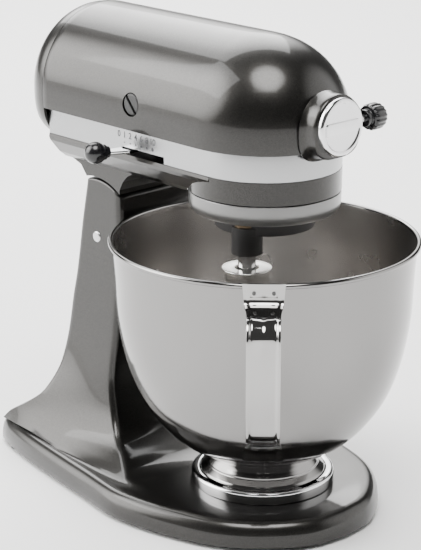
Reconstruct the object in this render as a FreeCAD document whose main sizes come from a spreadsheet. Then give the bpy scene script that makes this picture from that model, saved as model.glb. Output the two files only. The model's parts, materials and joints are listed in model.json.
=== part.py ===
"""Tilt-head stand mixer with a five-litre steel bowl and a wire whip, as a FreeCAD document.

Frame: +Z up, the nose and the power hub point to -Y, the speed lever is on the -X side.
The origin is on the worktop under the middle of the mixer's bounding box.
Every size below is in millimetres.
"""
import FreeCAD, Part
import Sketcher
import math
import os
import re
from FreeCAD import Placement, Rotation, Vector

SIZES = {
    # overall places
    "bowl_axis_y": -68.0, "seam_y": 106.0, "deck_top": 22.0, "foot_top": 3.0,
    # head
    "head_radius": 60.0, "head_axis_z": 293.0, "head_depth_below": 43.0, "head_wall": 3.5,
    "nose_start_y": -60.0, "nose_length": 67.0, "tail_length": 35.0, "cover_wall": 2.5,
    "cover_screw_y": 138.8, "inlet_y": 115.5,
    "band_bottom": 260.1, "band_top": 279.9, "band_outer": 54.2, "band_thick": 2.0,
    "split_z": 270.0, "case_radius": 54.3, "case_bottom": 243.9, "belly_z": 240.0,
    "case_floor_bottom": 256.0, "case_floor_top": 260.0, "case_wall": 4.0,
    # column and tilt hinge
    "column_half": 38.5, "column_front_y": 45.0,
    "pin_y": 71.8, "pin_z": 183.6, "pin_radius": 4.5, "pin_length": 77.6,
    "column_top_radius": 45.0, "neck_radius": 46.5, "tilt_limit": 45.0,
    "lug_half": 16.0, "lug_slot_half": 18.0, "lug_radius": 15.0, "lug_front_angle": 109.0,
    "lug_rear_angle": 80.0, "lug_bore": 4.55,
    # head lock
    "lock_angle": 95.0, "lock_reach": 30.0, "lock_pin_radius": 3.5, "lock_pin_length": 19.5,
    "lock_hub_radius": 8.0, "lock_hub_thick": 8.0, "lock_arm_length": 22.0, "lock_knob_radius": 6.5,
    # bowl
    "bowl_wall": 1.0, "bowl_bead_radius": 109.5, "bowl_bead": 1.9, "bowl_bead_z": 204.9,
    "bowl_floor_z": 44.5,
    "foot_ring_radius": 46.0, "plate_radius": 52.4, "plate_thick": 2.0,
    "handle_azimuth": 225.4, "handle_reach": 142.0, "handle_width": 23.0, "handle_plate": 28.5,
    "strap_thick": 2.4,
    # gear train
    "hub_axis_z": 299.0, "sun_offset": 28.5, "planet_module": 1.5, "ring_teeth": 54,
    "planet_teeth": 16, "train_module": 1.25, "centre_teeth": 56, "worm_pinion_teeth": 14,
    "bevel_module": 1.6, "bevel_centre_teeth": 20, "bevel_hub_teeth": 16,
    "worm_wheel_teeth": 30, "worm_wheel_x": 22.0, "train_distance": 43.8,
    "centre_shaft_radius": 6.0, "agitator_shaft_radius": 6.35, "worm_pin_radius": 4.0,
    # planetary
    "carrier_radius": 47.0, "carrier_bottom": 229.0, "carrier_top": 242.6, "hub_disc_radius": 35.5,
    "hub_disc_bottom": 217.0, "sleeve_radius": 11.0, "sleeve_bottom": 202.5, "drip_radius": 54.0,
    "drip_bottom": 228.0, "drip_top": 243.0,
    # whip
    "whip_hub_radius": 17.8, "whip_hub_top": 192.0, "whip_hub_bottom": 168.0, "whip_half": 50.0,
    "whip_bottom": 50.0, "wire_radius": 1.15, "wire_loops": 5,
    # motor
    "motor_shaft_radius": 4.0, "core_radius": 24.0, "field_inner": 25.2, "field_outer": 43.0,
    "commutator_radius": 14.0, "brush_y": 7.0, "fan_radius": 34.0, "bracket_radius": 46.0,
    # power hub
    "hub_radius": 22.0, "hub_front_y": -138.5, "hub_bore": 16.0, "hub_seat_y": -122.0,
    "bushing_radius": 11.0, "spindle_radius": 8.5, "socket_side": 8.6, "cap_radius": 20.4,
    "cap_thick": 3.8, "knob_y": -133.0, "knob_radius": 9.5,
    # speed lever
    "lever_z": 262.0, "lever_thick": 2.4, "slot_front_y": -22.0,
    "slot_rear_y": 26.0, "ball_radius": 8.0,
}

doc = FreeCAD.newDocument("stand_mixer")
sheet = doc.addObject("Spreadsheet::Sheet", "Sizes")
for row, (alias, number) in enumerate(SIZES.items(), start=1):
    sheet.set(f"A{row}", alias.replace("_", " "))
    sheet.set(f"B{row}", str(number))
    sheet.setAlias(f"B{row}", alias)
doc.recompute()

X_AXIS, Y_AXIS, Z_AXIS = Vector(1, 0, 0), Vector(0, 1, 0), Vector(0, 0, 1)
SUB_PARTS = []


# ---------------------------------------------------------------- helpers
def size(alias):
    """The number in the sheet's cell of that name."""
    return float(sheet.get(alias))


def formula(text):
    """Turn 'pin_radius + 1' into an expression on the sheet's cells."""
    return re.sub(r"[a-z][a-z_]+", lambda word: "Sizes." + word.group(), str(text))


def amount(text):
    """The value of such a text: signed terms, each a number, a cell name or a product of them."""
    total = 0.0
    for sign, term in re.findall(r"([+-]?)\s*([\w.]+(?:\s*[*/]\s*[\w.]+)*)", str(text)):
        total += -product(term) if sign == "-" else product(term)
    return total


def product(term):
    """One product of numbers and cell names."""
    result = 1.0
    for mark, factor in re.findall(r"([*/]?)\s*([\w.]+)", term):
        number = size(factor) if factor[0].isalpha() else float(factor)
        result = result / number if mark == "/" else result * number
    return result


def spot(x, y, z):
    """A point given by three such texts or numbers."""
    return Vector(amount(x), amount(y), amount(z))


def facing(direction):
    """The rotation that turns +Z to the direction."""
    return Rotation(Z_AXIS, direction)


def keep(label, obj, at=None, direction=Z_AXIS):
    """Name a finished sub-part, place it and remember it for the export."""
    obj.Label = label
    if at is not None:
        obj.Placement = Placement(at, facing(direction))
    SUB_PARTS.append(obj)
    return obj


def primitive(kind, name, at=Vector(), direction=Z_AXIS, **sizes):
    """A Part primitive whose sizes are bound to the sheet."""
    obj = doc.addObject("Part::" + kind, name)
    for prop, text in sizes.items():
        obj.setExpression(prop, formula(text))
    obj.Placement = Placement(at, facing(direction))
    return obj


def rod(name, radius, length, at, direction=Z_AXIS):
    """A plain round bar."""
    return primitive("Cylinder", name, at, direction, Radius=radius, Height=length)


def cut(name, base, tool):
    """Base less tool."""
    obj = doc.addObject("Part::Cut", name)
    obj.Base, obj.Tool = base, tool
    return obj


def fuse(name, members):
    """One solid from several."""
    obj = doc.addObject("Part::MultiFuse", name)
    obj.Shapes = members
    return obj


def group(name, members):
    """Several separate solids in one sub-part, such as a set of equal screws."""
    obj = doc.addObject("Part::Compound", name)
    obj.Links = members
    return obj


def solid(name, shape):
    """A sub-part whose shape comes from Part's own functions."""
    obj = doc.addObject("Part::Feature", name)
    obj.Shape = shape
    return obj


def plane_of(body, role):
    """One of a body's own origin planes or axes."""
    return [item for item in body.Origin.OriginFeatures if item.Role == role][0]


def new_sketch(body, name, role="XY_Plane", height=None):
    """A sketch on one of the body's planes, raised by a cell formula where one is given."""
    sketch = body.newObject("Sketcher::SketchObject", name)
    sketch.AttachmentSupport = [(plane_of(body, role), "")]
    sketch.MapMode = "FlatFace"
    if height is not None:
        sketch.setExpression("AttachmentOffset.Base.z", formula(height))
    return sketch


def pin_corner(sketch, edge, corner):
    """Bind the start point of an edge to two cell formulas."""
    for kind, text in zip(("DistanceX", "DistanceY"), corner):
        number = sketch.addConstraint(Sketcher.Constraint(kind, -1, 1, edge, 1, amount(text)))
        if re.search("[a-z]", str(text)):
            sketch.setExpression(f"Constraints[{number}]", formula(text))


def draw_outline(sketch, corners):
    """A closed straight-sided outline whose corners follow the sheet."""
    points = [Vector(amount(x), amount(y), 0) for x, y in corners]
    count = len(points)
    first = sketch.GeometryCount
    for index in range(count):
        sketch.addGeometry(Part.LineSegment(points[index], points[(index + 1) % count]), False)
    for index in range(count):
        following = first + (index + 1) % count
        sketch.addConstraint(Sketcher.Constraint("Coincident", first + index, 2, following, 1))
    for index, corner in enumerate(corners):
        pin_corner(sketch, first + index, corner)


def draw_circle(sketch, radius, x=0, y=0):
    """A circle whose radius follows the sheet."""
    centre = Vector(amount(x), amount(y), 0)
    edge = sketch.addGeometry(Part.Circle(centre, Z_AXIS, amount(radius)), False)
    number = sketch.addConstraint(Sketcher.Constraint("Radius", edge, amount(radius)))
    sketch.setExpression(f"Constraints[{number}]", formula(radius))
    for kind, place in (("DistanceX", centre.x), ("DistanceY", centre.y)):
        sketch.addConstraint(Sketcher.Constraint(kind, -1, 1, edge, 3, place))


def pad(body, sketch, length, feature="PartDesign::Pad"):
    """Raise (or with PartDesign::Pocket, sink) a sketch by a cell formula."""
    item = body.newObject(feature, sketch.Name + "_length")
    item.Profile = sketch
    item.setExpression("Length", formula(length))
    sketch.Visibility = False
    return item


def turned(name, corners):
    """A body turned about its own Z axis from (radius, height) corners."""
    body = doc.addObject("PartDesign::Body", name)
    sketch = new_sketch(body, name + "_profile", "XZ_Plane")
    draw_outline(sketch, corners)
    turn = body.newObject("PartDesign::Revolution", name + "_turn")
    turn.Profile = sketch
    turn.ReferenceAxis = (sketch, ["V_Axis"])
    turn.Angle = 360
    return body


def padded(name, corners, length, holes=()):
    """A flat body padded from an outline, with round holes (radius, x, y)."""
    body = doc.addObject("PartDesign::Body", name)
    sketch = new_sketch(body, name + "_outline")
    draw_outline(sketch, corners)
    for radius, x, y in holes:
        draw_circle(sketch, radius, x, y)
    pad(body, sketch, length)
    return body


def drill(body, radius, depth, places):
    """Straight holes from the body's XY plane upwards."""
    sketch = new_sketch(body, body.Name + "_holes")
    for x, y in places:
        draw_circle(sketch, radius, x, y)
    pocket = pad(body, sketch, depth, "PartDesign::Pocket")
    pocket.Reversed = True
    return pocket



# ---------------------------------------------------------------- plain solids for the castings
def cylinder(radius, length, at, direction=Z_AXIS):
    """A cylinder as a bare shape."""
    return Part.makeCylinder(radius, length, at, direction)


def block(x0, x1, y0, y1, z0, z1):
    """A box between two corners as a bare shape."""
    return Part.makeBox(x1 - x0, y1 - y0, z1 - z0, Vector(x0, y0, z0))


def prism(points, vector):
    """A straight-sided face pushed along a vector."""
    return Part.Face(Part.makePolygon(points + points[:1])).extrude(vector)


def smooth_loop(points):
    """A closed smooth wire through points."""
    curve = Part.BSplineCurve()
    curve.interpolate(points, PeriodicFlag=True)
    return Part.Wire(curve.toShape())


def side_profile(points, half_width):
    """A (y, z) outline pushed out to both sides of the middle plane."""
    start = [Vector(-half_width, y, z) for y, z in points]
    return prism(start, Vector(2 * half_width, 0, 0))


def polar(angle, reach):
    """(y, z) of a point that far from the tilt pin, at an angle above +Y."""
    turn = math.radians(angle)
    return size("pin_y") + reach * math.cos(turn), size("pin_z") + reach * math.sin(turn)


# ---------------------------------------------------------------- stand
BASE_OUTLINE = [(30, -149.5), (61, -128), (83, -99), (97, -55), (102, -19), (96, 23), (81, 113),
                (69, 155), (50, 168)]
# height, front y, front half-width, rear y, rear half-width, bulge of the rear face
COLUMN_LEVELS = [
    (3, -32, 86, 158, 70, 14), (14, -22, 85, 156, 71, 13.5), (24, -10, 80, 151, 71.5, 12),
    (40, 27, 60, 131, 68, 10), (56, 38, 53.5, 112, 61, 8), (80, 44.5, 49.5, 102.5, 51.3, 6),
    (106, 45, 45, 100, 45, 4.5), (130, 45, 42, 98, 42.2, 3.5), (153, 45, 40, 94.5, 40.2, 2.5),
    (184, 45, 38.5, 90.5, 38.7, 1.5), (232, 45, 38.5, 80, 38.5, 1.0)]


def eased(height, column):
    """One column dimension at a height, with no overshoot between the given levels."""
    heights = [level[0] for level in COLUMN_LEVELS]
    values = [level[column] for level in COLUMN_LEVELS]
    slopes = [(values[i + 1] - values[i]) / (heights[i + 1] - heights[i])
              for i in range(len(values) - 1)]
    tangents = [slopes[0]]
    for before, after in zip(slopes, slopes[1:]):
        tangents.append(2 * before * after / (before + after) if before * after > 0 else 0.0)
    tangents.append(slopes[-1])
    step = max(i for i in range(len(slopes)) if heights[i] <= height)
    span = heights[step + 1] - heights[step]
    u = (height - heights[step]) / span
    return (values[step] * (1 + 2 * u) * (1 - u) ** 2 + values[step + 1] * u * u * (3 - 2 * u)
            + span * u * (1 - u) * ((1 - u) * tangents[step] - u * tangents[step + 1]))


def column_levels(bottom, top, count):
    """Evenly spaced levels of the column."""
    heights = [bottom + (top - bottom) * step / (count - 1) for step in range(count)]
    return [(height, *(eased(height, column) for column in range(1, 6))) for height in heights]


def base_outline(height, inset):
    """The plan of the base at one height."""
    right = [Vector(x - inset * x / 102, y + (inset if y < -60 else -inset) * abs(y) / 155, height)
             for x, y in BASE_OUTLINE]
    left = [Vector(-point.x, point.y, height) for point in reversed(right)]
    nose = Vector(0, -154.4 + inset, height)
    tail = Vector(0, 174.2 - inset, height)
    return smooth_loop([nose] + right + [tail] + left)


def column_section(section, inset):
    """One level of the column: flat front, straight sides, gently bulging back."""
    height, front, half_front, rear, half_rear, bulge = section
    front, rear = front + inset, rear - inset
    half_front, half_rear = half_front - inset, half_rear - inset
    corner = 4.5 if inset == 0 else 2.0
    points = [Vector(-half_front + corner, front, height), Vector(half_front - corner, front, height),
              Vector(half_front, front + corner, height), Vector(half_rear, rear, height),
              Vector(-half_rear, rear, height), Vector(-half_front, front + corner, height)]
    slant = corner * 0.3
    right_middle = Vector(half_front - slant, front + slant, height)
    left_middle = Vector(-half_front + slant, front + slant, height)
    edges = [Part.LineSegment(points[0], points[1]).toShape(),
             Part.Arc(points[1], right_middle, points[2]).toShape(),
             Part.LineSegment(points[2], points[3]).toShape(),
             Part.Arc(points[3], Vector(0, rear + bulge, height), points[4]).toShape(),
             Part.LineSegment(points[4], points[5]).toShape(),
             Part.Arc(points[5], left_middle, points[0]).toShape()]
    return Part.Wire(edges)


def column_loft(sections, inset):
    """The column between its levels."""
    return Part.makeLoft([column_section(section, inset) for section in sections], True, True)


def stand_casting():
    """Base and column in one hollow casting, slotted at the top for the head's lug."""
    deck, floor = size("deck_top"), size("foot_top")
    slab = Part.Face(base_outline(floor, 0)).extrude(Vector(0, 0, deck - floor))
    top_edges = [edge for edge in slab.Edges if edge.BoundBox.ZMin > deck - 0.1]
    slab = slab.makeFillet(11.0, top_edges)
    shape = slab.fuse(column_loft(column_levels(floor, 232, 26), 0))
    pin = Vector(-60, size("pin_y"), size("pin_z"))
    crown = cylinder(size("column_top_radius"), 120, pin, X_AXIS)
    above = block(-60, 60, 30, 110, size("pin_z") + 20, 240)
    shape = shape.cut(above.cut(crown))
    hollow = Part.Face(base_outline(floor - 1, 6)).extrude(Vector(0, 0, deck - floor - 4))
    hollow = hollow.fuse(column_loft(column_levels(floor, 155, 12), 6))
    shape = shape.cut(hollow)
    posts = [cylinder(10, deck - floor - 2, Vector(x, y, floor)) for x, y in FOOT_PLACES]
    shape = shape.fuse(posts[0].multiFuse(posts[1:]))
    shape = shape.cut(lug_slot())
    shape = shape.cut(cylinder(size("pin_radius"), 120, pin, X_AXIS))
    lock_y, lock_z = polar(size("lock_angle"), size("lock_reach"))
    shape = shape.cut(cylinder(size("lock_pin_radius") + 0.05, 60, Vector(0, lock_y, lock_z), X_AXIS))
    for x, y in FOOT_PLACES:
        shape = shape.cut(cylinder(4.0, 8, Vector(x, y, floor - 1)))
    for x, y in PLATE_SCREWS:
        shape = shape.cut(cylinder(2.0, 10, Vector(x, y, deck - 7)))
    return shape.removeSplitter()


def lug_slot():
    """The gap in the column's top that the head's lug swings through."""
    half = size("lug_slot_half")
    pin_y, pin_z = size("pin_y"), size("pin_z")
    front = size("lug_front_angle") + 4
    rear = size("lug_rear_angle") - size("tilt_limit") - 4
    sweep = [(pin_y, pin_z)] + [polar(angle, 70) for angle in (front, (front + rear) / 2, rear)]
    wedge = side_profile(sweep, half)
    return wedge.fuse(cylinder(size("lug_radius") + 1.2, 2 * half, Vector(-half, pin_y, pin_z), X_AXIS))


FOOT_PLACES = [(0, -134), (-82, -38), (82, -38), (-62, 140), (62, 140)]
BOWL_Y = size("bowl_axis_y")
PLATE_SCREWS = [(32 * math.cos(math.radians(turn)), BOWL_Y + 32 * math.sin(math.radians(turn)))
                for turn in (45, 135, 225, 315)]


def make_stand():
    """Everything that stays on the worktop."""
    keep("stand_casting", solid("stand_casting", stand_casting()))
    feet = []
    for number, (x, y) in enumerate(FOOT_PLACES):
        pad_disc = rod(f"foot_pad_{number}", 9.5, "foot_top", Vector(x, y, 0))
        stud = rod(f"foot_stud_{number}", 4, 7, spot(x, y, "foot_top"))
        feet.append(fuse(f"foot_{number}", [pad_disc, stud]))
    keep("rubber_feet", group("rubber_feet", feet))

    plate = turned("bowl_clamp_plate", [
        (0, 0), ("plate_radius", 0), ("plate_radius", 9), ("foot_ring_radius + 0.6", 9),
        ("foot_ring_radius + 0.6", 6.2), ("plate_radius - 2.4", 6.2),
        ("plate_radius - 2.4", "plate_thick"), (0, "plate_thick")])
    gate = new_sketch(plate, "plate_gate", height="plate_thick")
    draw_outline(gate, [(36, -9), ("plate_radius - 2.4", -9), ("plate_radius - 2.4", 9), (36, 9)])
    opening = pad(plate, gate, 12, "PartDesign::Pocket")
    opening.Reversed = True
    pattern = plate.newObject("PartDesign::PolarPattern", "plate_gates")
    pattern.Originals = [opening]
    pattern.Axis = (plane_of(plate, "Z_Axis"), [""])
    pattern.Angle = 360
    pattern.Occurrences = 4
    plate.Tip = pattern
    drill(plate, 2.2, 3, [(x, y - BOWL_Y) for x, y in PLATE_SCREWS])
    keep("bowl_clamp_plate", plate, spot(0, "bowl_axis_y", "deck_top"))

    screws = []
    for number, (x, y) in enumerate(PLATE_SCREWS):
        shank = rod(f"plate_screw_shank_{number}", 2, 8, spot(x, y, "deck_top - 6"))
        head = rod(f"plate_screw_head_{number}", 4, 1.6, spot(x, y, "deck_top + 2"))
        screws.append(fuse(f"plate_screw_{number}", [shank, head]))
    keep("clamp_plate_screws", group("clamp_plate_screws", screws))

    pin = rod("hinge_pin_bar", "pin_radius", "pin_length",
              spot("0 - pin_length / 2", "pin_y", "pin_z"), X_AXIS)
    keep("hinge_pin", pin)

    lock_y, lock_z = polar(size("lock_angle"), size("lock_reach"))
    keep("lock_pin", rod("lock_bar", "lock_pin_radius", "lock_pin_length",
                         Vector(18.5, lock_y, lock_z), X_AXIS))
    hub = rod("lock_lever_hub", "lock_hub_radius", "lock_hub_thick",
              Vector(39.0, lock_y, lock_z), X_AXIS)
    arm = primitive("Box", "lock_lever_arm", Length=3.5, Width="lock_arm_length", Height=5)
    arm.Placement.Base = Vector(43.5, lock_y - size("lock_arm_length"), lock_z - 2.5)
    keep("lock_lever", fuse("lock_lever_body", [hub, arm]))
    ball = primitive("Sphere", "lock_knob_ball", Radius="lock_knob_radius",
                     at=Vector(45.3, lock_y - size("lock_arm_length") - 3, lock_z))
    keep("lock_knob", cut("lock_knob_body", ball, arm))


# ---------------------------------------------------------------- head castings
def head_section(y, radius, depth):
    """Egg-shaped section: half a circle above the head's axis, a flatter fuller curve below."""
    points = []
    for step in range(48):
        turn = 2 * math.pi * step / 48
        across, rise = math.cos(turn), math.sin(turn)
        if rise >= 0:
            points.append(Vector(radius * across, y, size("head_axis_z") + radius * rise))
        else:
            reach = math.copysign(abs(across) ** 0.625, across)
            points.append(Vector(radius * reach, y, size("head_axis_z") - depth * abs(rise) ** 0.625))
    return smooth_loop(points)


def dome(y, length, inset):
    """A rounded end of the head, closing towards +Y or, with a negative length, towards -Y."""
    radius, depth = size("head_radius") - inset, size("head_depth_below") - inset
    reach = length - math.copysign(inset, length)
    sections = []
    for u in (0, 0.3, 0.55, 0.75, 0.88, 0.95, 0.985):
        scale = (1 - u ** 2.15) ** (1 / 2.15)
        sections.append(head_section(y + reach * u, radius * scale, depth * scale))
    tip = Part.Vertex(Vector(0, y + reach, size("head_axis_z")))
    return Part.makeLoft(sections + [tip], True, False)


def barrel(inset, y0, y1):
    """The straight middle of the head."""
    section = head_section(y0, size("head_radius") - inset, size("head_depth_below") - inset)
    return Part.Face(section).extrude(Vector(0, y1 - y0, 0))


def band_seat(half, z0, z1):
    """The upright-sided part that the trim band lies on: straight sides and a round front."""
    straight = block(-half, half, BOWL_Y, size("seam_y"), z0, z1)
    return straight.fuse(cylinder(half, z1 - z0, Vector(0, BOWL_Y, z0)))


def upper_housing():
    """The painted upper shell with its nose, the power hub and the brush holes."""
    split, top, wall = size("split_z"), size("band_top") + 0.1, size("head_wall")
    seat = size("band_outer") - size("band_thick") - 0.1
    start, seam = size("nose_start_y"), size("seam_y")
    outer = barrel(0, start, seam).fuse(dome(start, -size("nose_length"), 0))
    inner = barrel(wall, start, seam + 1).fuse(dome(start, -size("nose_length"), wall))
    outer = outer.cut(block(-80, 80, -160, 120, 200, top))
    inner = inner.cut(block(-80, 80, -160, 120, 200, top + 0.01))
    shape = outer.fuse(band_seat(seat, split, top + 2)).cut(inner)
    shape = shape.cut(band_seat(seat - wall, split - 1, top + 3))
    hub = Vector(0, size("hub_front_y"), size("hub_axis_z"))
    depth = size("hub_seat_y") - size("hub_front_y")
    shape = shape.fuse(cylinder(size("hub_radius"), depth + 4, hub, Y_AXIS))
    shape = shape.fuse(cylinder(14, 36.5, hub, Y_AXIS))
    shape = shape.cut(cylinder(size("hub_bore"), depth, hub, Y_AXIS))
    shape = shape.cut(cylinder(size("bushing_radius"), 40, hub, Y_AXIS))
    shape = shape.cut(cylinder(3.1, 40, Vector(0, size("knob_y"), size("hub_axis_z")), X_AXIS))
    shape = shape.cut(cylinder(8.5, 140, Vector(-70, size("brush_y"), size("hub_axis_z")), X_AXIS))
    under_hub = band_seat(size("band_outer") + 0.1, size("band_bottom"), top)
    shape = shape.cut(under_hub.cut(band_seat(seat + 0.05, size("band_bottom") - 1, top + 1)))
    return shape.removeSplitter()


def lower_housing():
    """The gear case, the belly, the neck and the lug that turns on the tilt pin."""
    split, seam, belly = size("split_z"), size("seam_y"), size("belly_z")
    seat = size("band_outer") - size("band_thick") - 0.1
    ledge = size("band_bottom") - 0.1
    half = size("column_half")
    profile = [(seat, split), (seat, ledge), (54.3, ledge), (54.8, 257.6), (53.6, 254.8),
               (50, 250.5), (45, 244.6), (39, belly)]
    outline = [Vector(x, BOWL_Y, z) for x, z in profile]
    outline += [Vector(-x, BOWL_Y, z) for x, z in reversed(profile)]
    shape = prism(outline, Vector(0, seam - BOWL_Y, 0))
    case_bottom = size("case_bottom")
    case = cylinder(size("case_radius"), ledge - case_bottom, Vector(0, BOWL_Y, case_bottom))
    shape = shape.fuse(case)
    shape = shape.fuse(cylinder(seat, split - ledge, Vector(0, BOWL_Y, ledge)))
    front = size("column_front_y")
    neck = [(front, 215), (front, 225), (front - 4, 232), (front - 9, 237), (front - 16, belly + 0.5),
            (front - 16, 246), (102, 246), (102, belly + 1), (89, 236.5), (82, 228), (82, 215)]
    pin = Vector(-60, size("pin_y"), size("pin_z"))
    neck_block = side_profile(neck, half).cut(cylinder(size("neck_radius"), 120, pin, X_AXIS))
    shape = shape.fuse(neck_block)
    wedge = [(size("pin_y"), size("pin_z"))]
    wedge += [polar(size(name), 55) for name in ("lug_front_angle", "lug_rear_angle")]
    lug_half = size("lug_half")
    lug_start = Vector(-lug_half, size("pin_y"), size("pin_z"))
    barrel = cylinder(size("lug_radius"), 2 * lug_half, lug_start, X_AXIS)
    lug = side_profile(wedge, lug_half).fuse(barrel)
    shape = shape.fuse(lug)
    # hollows: gear room above its floor, motor room, recess for the ring gear from below
    wall = size("case_wall")
    room = seat - wall
    floor_top = size("case_floor_top")
    gear_room = block(-room, room, BOWL_Y, -5, floor_top, split + 1)
    gear_room = gear_room.fuse(cylinder(room, split + 1 - floor_top, Vector(0, BOWL_Y, floor_top)))
    motor_room = block(-room, room, -9, seam + 1, 254, split + 1)
    low = [Vector(x, -9, z) for x, z in ((room, 254.1), (43, 248), (36, 244), (-36, 244), (-43, 248),
                                        (-room, 254.1))]
    motor_room = motor_room.fuse(prism(low, Vector(0, seam + 10, 0)))
    recess_depth = size("case_floor_bottom") - case_bottom
    recess = cylinder(47.4, recess_depth + 1, Vector(0, BOWL_Y, case_bottom - 1))
    under_case = cylinder(size("case_radius") + 0.6, 10, Vector(0, BOWL_Y, case_bottom - 10))
    shape = shape.cut(gear_room).cut(motor_room).cut(recess).cut(under_case)
    shape = shape.cut(cylinder(10.0, 12, Vector(0, BOWL_Y, 252)))
    shape = shape.cut(cylinder(size("worm_pin_radius"), 8, worm_centre(254)))
    shape = shape.cut(cylinder(size("lug_bore"), 120, pin, X_AXIS))
    lock_y, lock_z = polar(size("lock_angle"), size("lock_reach"))
    shape = shape.cut(cylinder(size("lock_pin_radius") + 0.3, 20, Vector(0, lock_y, lock_z), X_AXIS))
    slot_top = size("band_bottom") + 5.2
    shape = shape.cut(block(-60, -40, size("slot_front_y"), size("slot_rear_y"), ledge, slot_top))
    for x, y in BRACKET_LEGS:
        shape = shape.cut(cylinder(2.0, 8, Vector(x, y, 254)))
    return shape.removeSplitter()


def trim_band():
    """The satin strip that wraps both sides and the front, notched for the speed lever."""
    outer, thick = size("band_outer"), size("band_thick")
    bottom, top = size("band_bottom"), size("band_top")
    ring = band_seat(outer, bottom, top).cut(band_seat(outer - thick, bottom - 1, top + 1))
    ring = ring.cut(block(-80, 80, size("seam_y") - 2, 140, 200, 300))
    slot = block(-60, -40, size("slot_front_y"), size("slot_rear_y"), bottom - 1, bottom + 5.2)
    return ring.cut(slot)


def rear_cover():
    """The domed shell that closes the back of the head."""
    seam, length = size("seam_y") + 0.2, size("tail_length") - 0.2
    shape = dome(seam, length, 0).cut(dome(seam, length, size("cover_wall")))
    shape = shape.cut(cylinder(2.1, 80, Vector(0, 120, size("head_axis_z")), Y_AXIS))
    shape = shape.cut(cylinder(5.0, 20, Vector(0, size("cover_screw_y"), size("head_axis_z")), Y_AXIS))
    return shape.cut(cylinder(5.7, 40, Vector(0, size("inlet_y"), 235)))


def worm_centre(z):
    """The axis of the worm wheel, one gear distance away from the bowl's axis."""
    x = size("worm_wheel_x")
    return Vector(x, BOWL_Y + math.sqrt(size("train_distance") ** 2 - x * x), z)


BRACKET_LEGS = [(-18, -27), (41, -22)]


def make_head_shells():
    """Castings, covers and trim of the head."""
    keep("upper_housing", solid("upper_housing", upper_housing()))
    keep("lower_housing", solid("lower_housing", lower_housing()))
    keep("trim_band", solid("trim_band", trim_band()))
    keep("rear_cover", solid("rear_cover", rear_cover()))
    axis_z = size("head_axis_z")
    screw_y = size("cover_screw_y")
    shank = rod("cover_screw_shank", 2, 19, Vector(0, screw_y - 19, axis_z), Y_AXIS)
    screw_head = rod("cover_screw_head", 4.8, 1.8, Vector(0, screw_y, axis_z), Y_AXIS)
    keep("rear_cover_screw", fuse("rear_cover_screw_body", [shank, screw_head]))
    gland = turned("cord_inlet_bushing", [
        (3.2, 0), (7.5, 0), (7.5, 2.5), (5.5, 2.5), (5.5, 12), (3.2, 12)])
    keep("cord_inlet_bushing", gland, Vector(0, size("inlet_y"), 247.1))


# ---------------------------------------------------------------- gears
def tooth_gear(name, teeth, module, width, bore, inward=False):
    """A straight-toothed gear: a disc (or ring), one tooth and a polar pattern of it."""
    side = -1 if inward else 1
    pitch = amount(teeth) * amount(module) / 2
    root = pitch - side * 1.2 * amount(module)
    tip = pitch + side * 0.8 * amount(module)
    space = math.pi * amount(module)
    body = doc.addObject("PartDesign::Body", name)
    disc = new_sketch(body, name + "_disc")
    draw_circle(disc, bore)
    edge = disc.addGeometry(Part.Circle(Vector(), Z_AXIS, root), False)
    disc.addConstraint(Sketcher.Constraint("Coincident", edge, 3, -1, 1))
    number = disc.addConstraint(Sketcher.Constraint("Radius", edge, root))
    disc.setExpression(f"Constraints[{number}]",
                       formula(f"{teeth} * {module} / 2 - {side} * 1.2 * {module}"))
    pad(body, disc, width)
    tooth = new_sketch(body, name + "_tooth")
    draw_outline(tooth, [(root - side * 0.4, -0.30 * space), (tip, -0.11 * space),
                         (tip, 0.11 * space), (root - side * 0.4, 0.30 * space)])
    tooth_pad = pad(body, tooth, width)
    pattern = body.newObject("PartDesign::PolarPattern", name + "_teeth")
    pattern.Originals = [tooth_pad]
    pattern.Axis = (plane_of(body, "Z_Axis"), [""])
    pattern.Angle = 360
    pattern.setExpression("Occurrences", formula(teeth))
    body.Tip = pattern
    return body


def turn_about_z(obj, at, angle):
    """Place a gear upright at a point, turned so that its teeth mesh."""
    obj.Placement = Placement(at, Rotation(Z_AXIS, angle))


def bevel_gear(teeth, mate, module, face, bore, backing, backing_radius):
    """A bevel gear whose teeth run to the crossing of the two axes, big end on z = 0."""
    pitch, distance = teeth * module / 2, mate * module / 2
    half_root, half_tip = 0.30 * math.pi / teeth * 2, 0.11 * math.pi / teeth * 2
    root, tip = pitch - 1.2 * module, pitch + 0.8 * module
    ends = []
    for level, scale in ((0, 1), (face, (distance - face) / distance)):
        points = []
        for number in range(int(teeth)):
            middle = 2 * math.pi * number / teeth
            corners = ((root, -half_root), (tip, -half_tip), (tip, half_tip), (root, half_root))
            for reach, turn in corners:
                points.append(Vector(reach * scale * math.cos(middle + turn),
                                     reach * scale * math.sin(middle + turn), level))
        ends.append(Part.makePolygon(points + points[:1]))
    shape = Part.makeLoft(ends, True, True)
    shape = shape.fuse(cylinder(backing_radius, backing, Vector(0, 0, -backing)))
    return shape.cut(cylinder(bore, 60, Vector(0, 0, -30)))


def worm_thread():
    """The worm: a bar with one helical thread."""
    pitch, length = 3.14, 24.0
    core = cylinder(4.4, length, Vector())
    helix = Part.makeHelix(pitch, length - 2 * pitch, 4.3)
    groove = [Vector(4.2, 0, -0.9), Vector(5.8, 0, -0.35), Vector(5.8, 0, 0.35), Vector(4.2, 0, 0.9)]
    profile = Part.makePolygon(groove + groove[:1])
    thread = Part.Wire(helix.Edges).makePipeShell([profile], True, True)
    thread.translate(Vector(0, 0, pitch))
    return core.fuse(thread)


def planet_centre(z):
    """The axis of the agitator, to one side of the bowl's axis."""
    turn = math.radians(PLANET_ANGLE)
    reach = size("sun_offset")
    return Vector(reach * math.cos(turn), BOWL_Y + reach * math.sin(turn), z)


PLANET_ANGLE = 200.0


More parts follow.
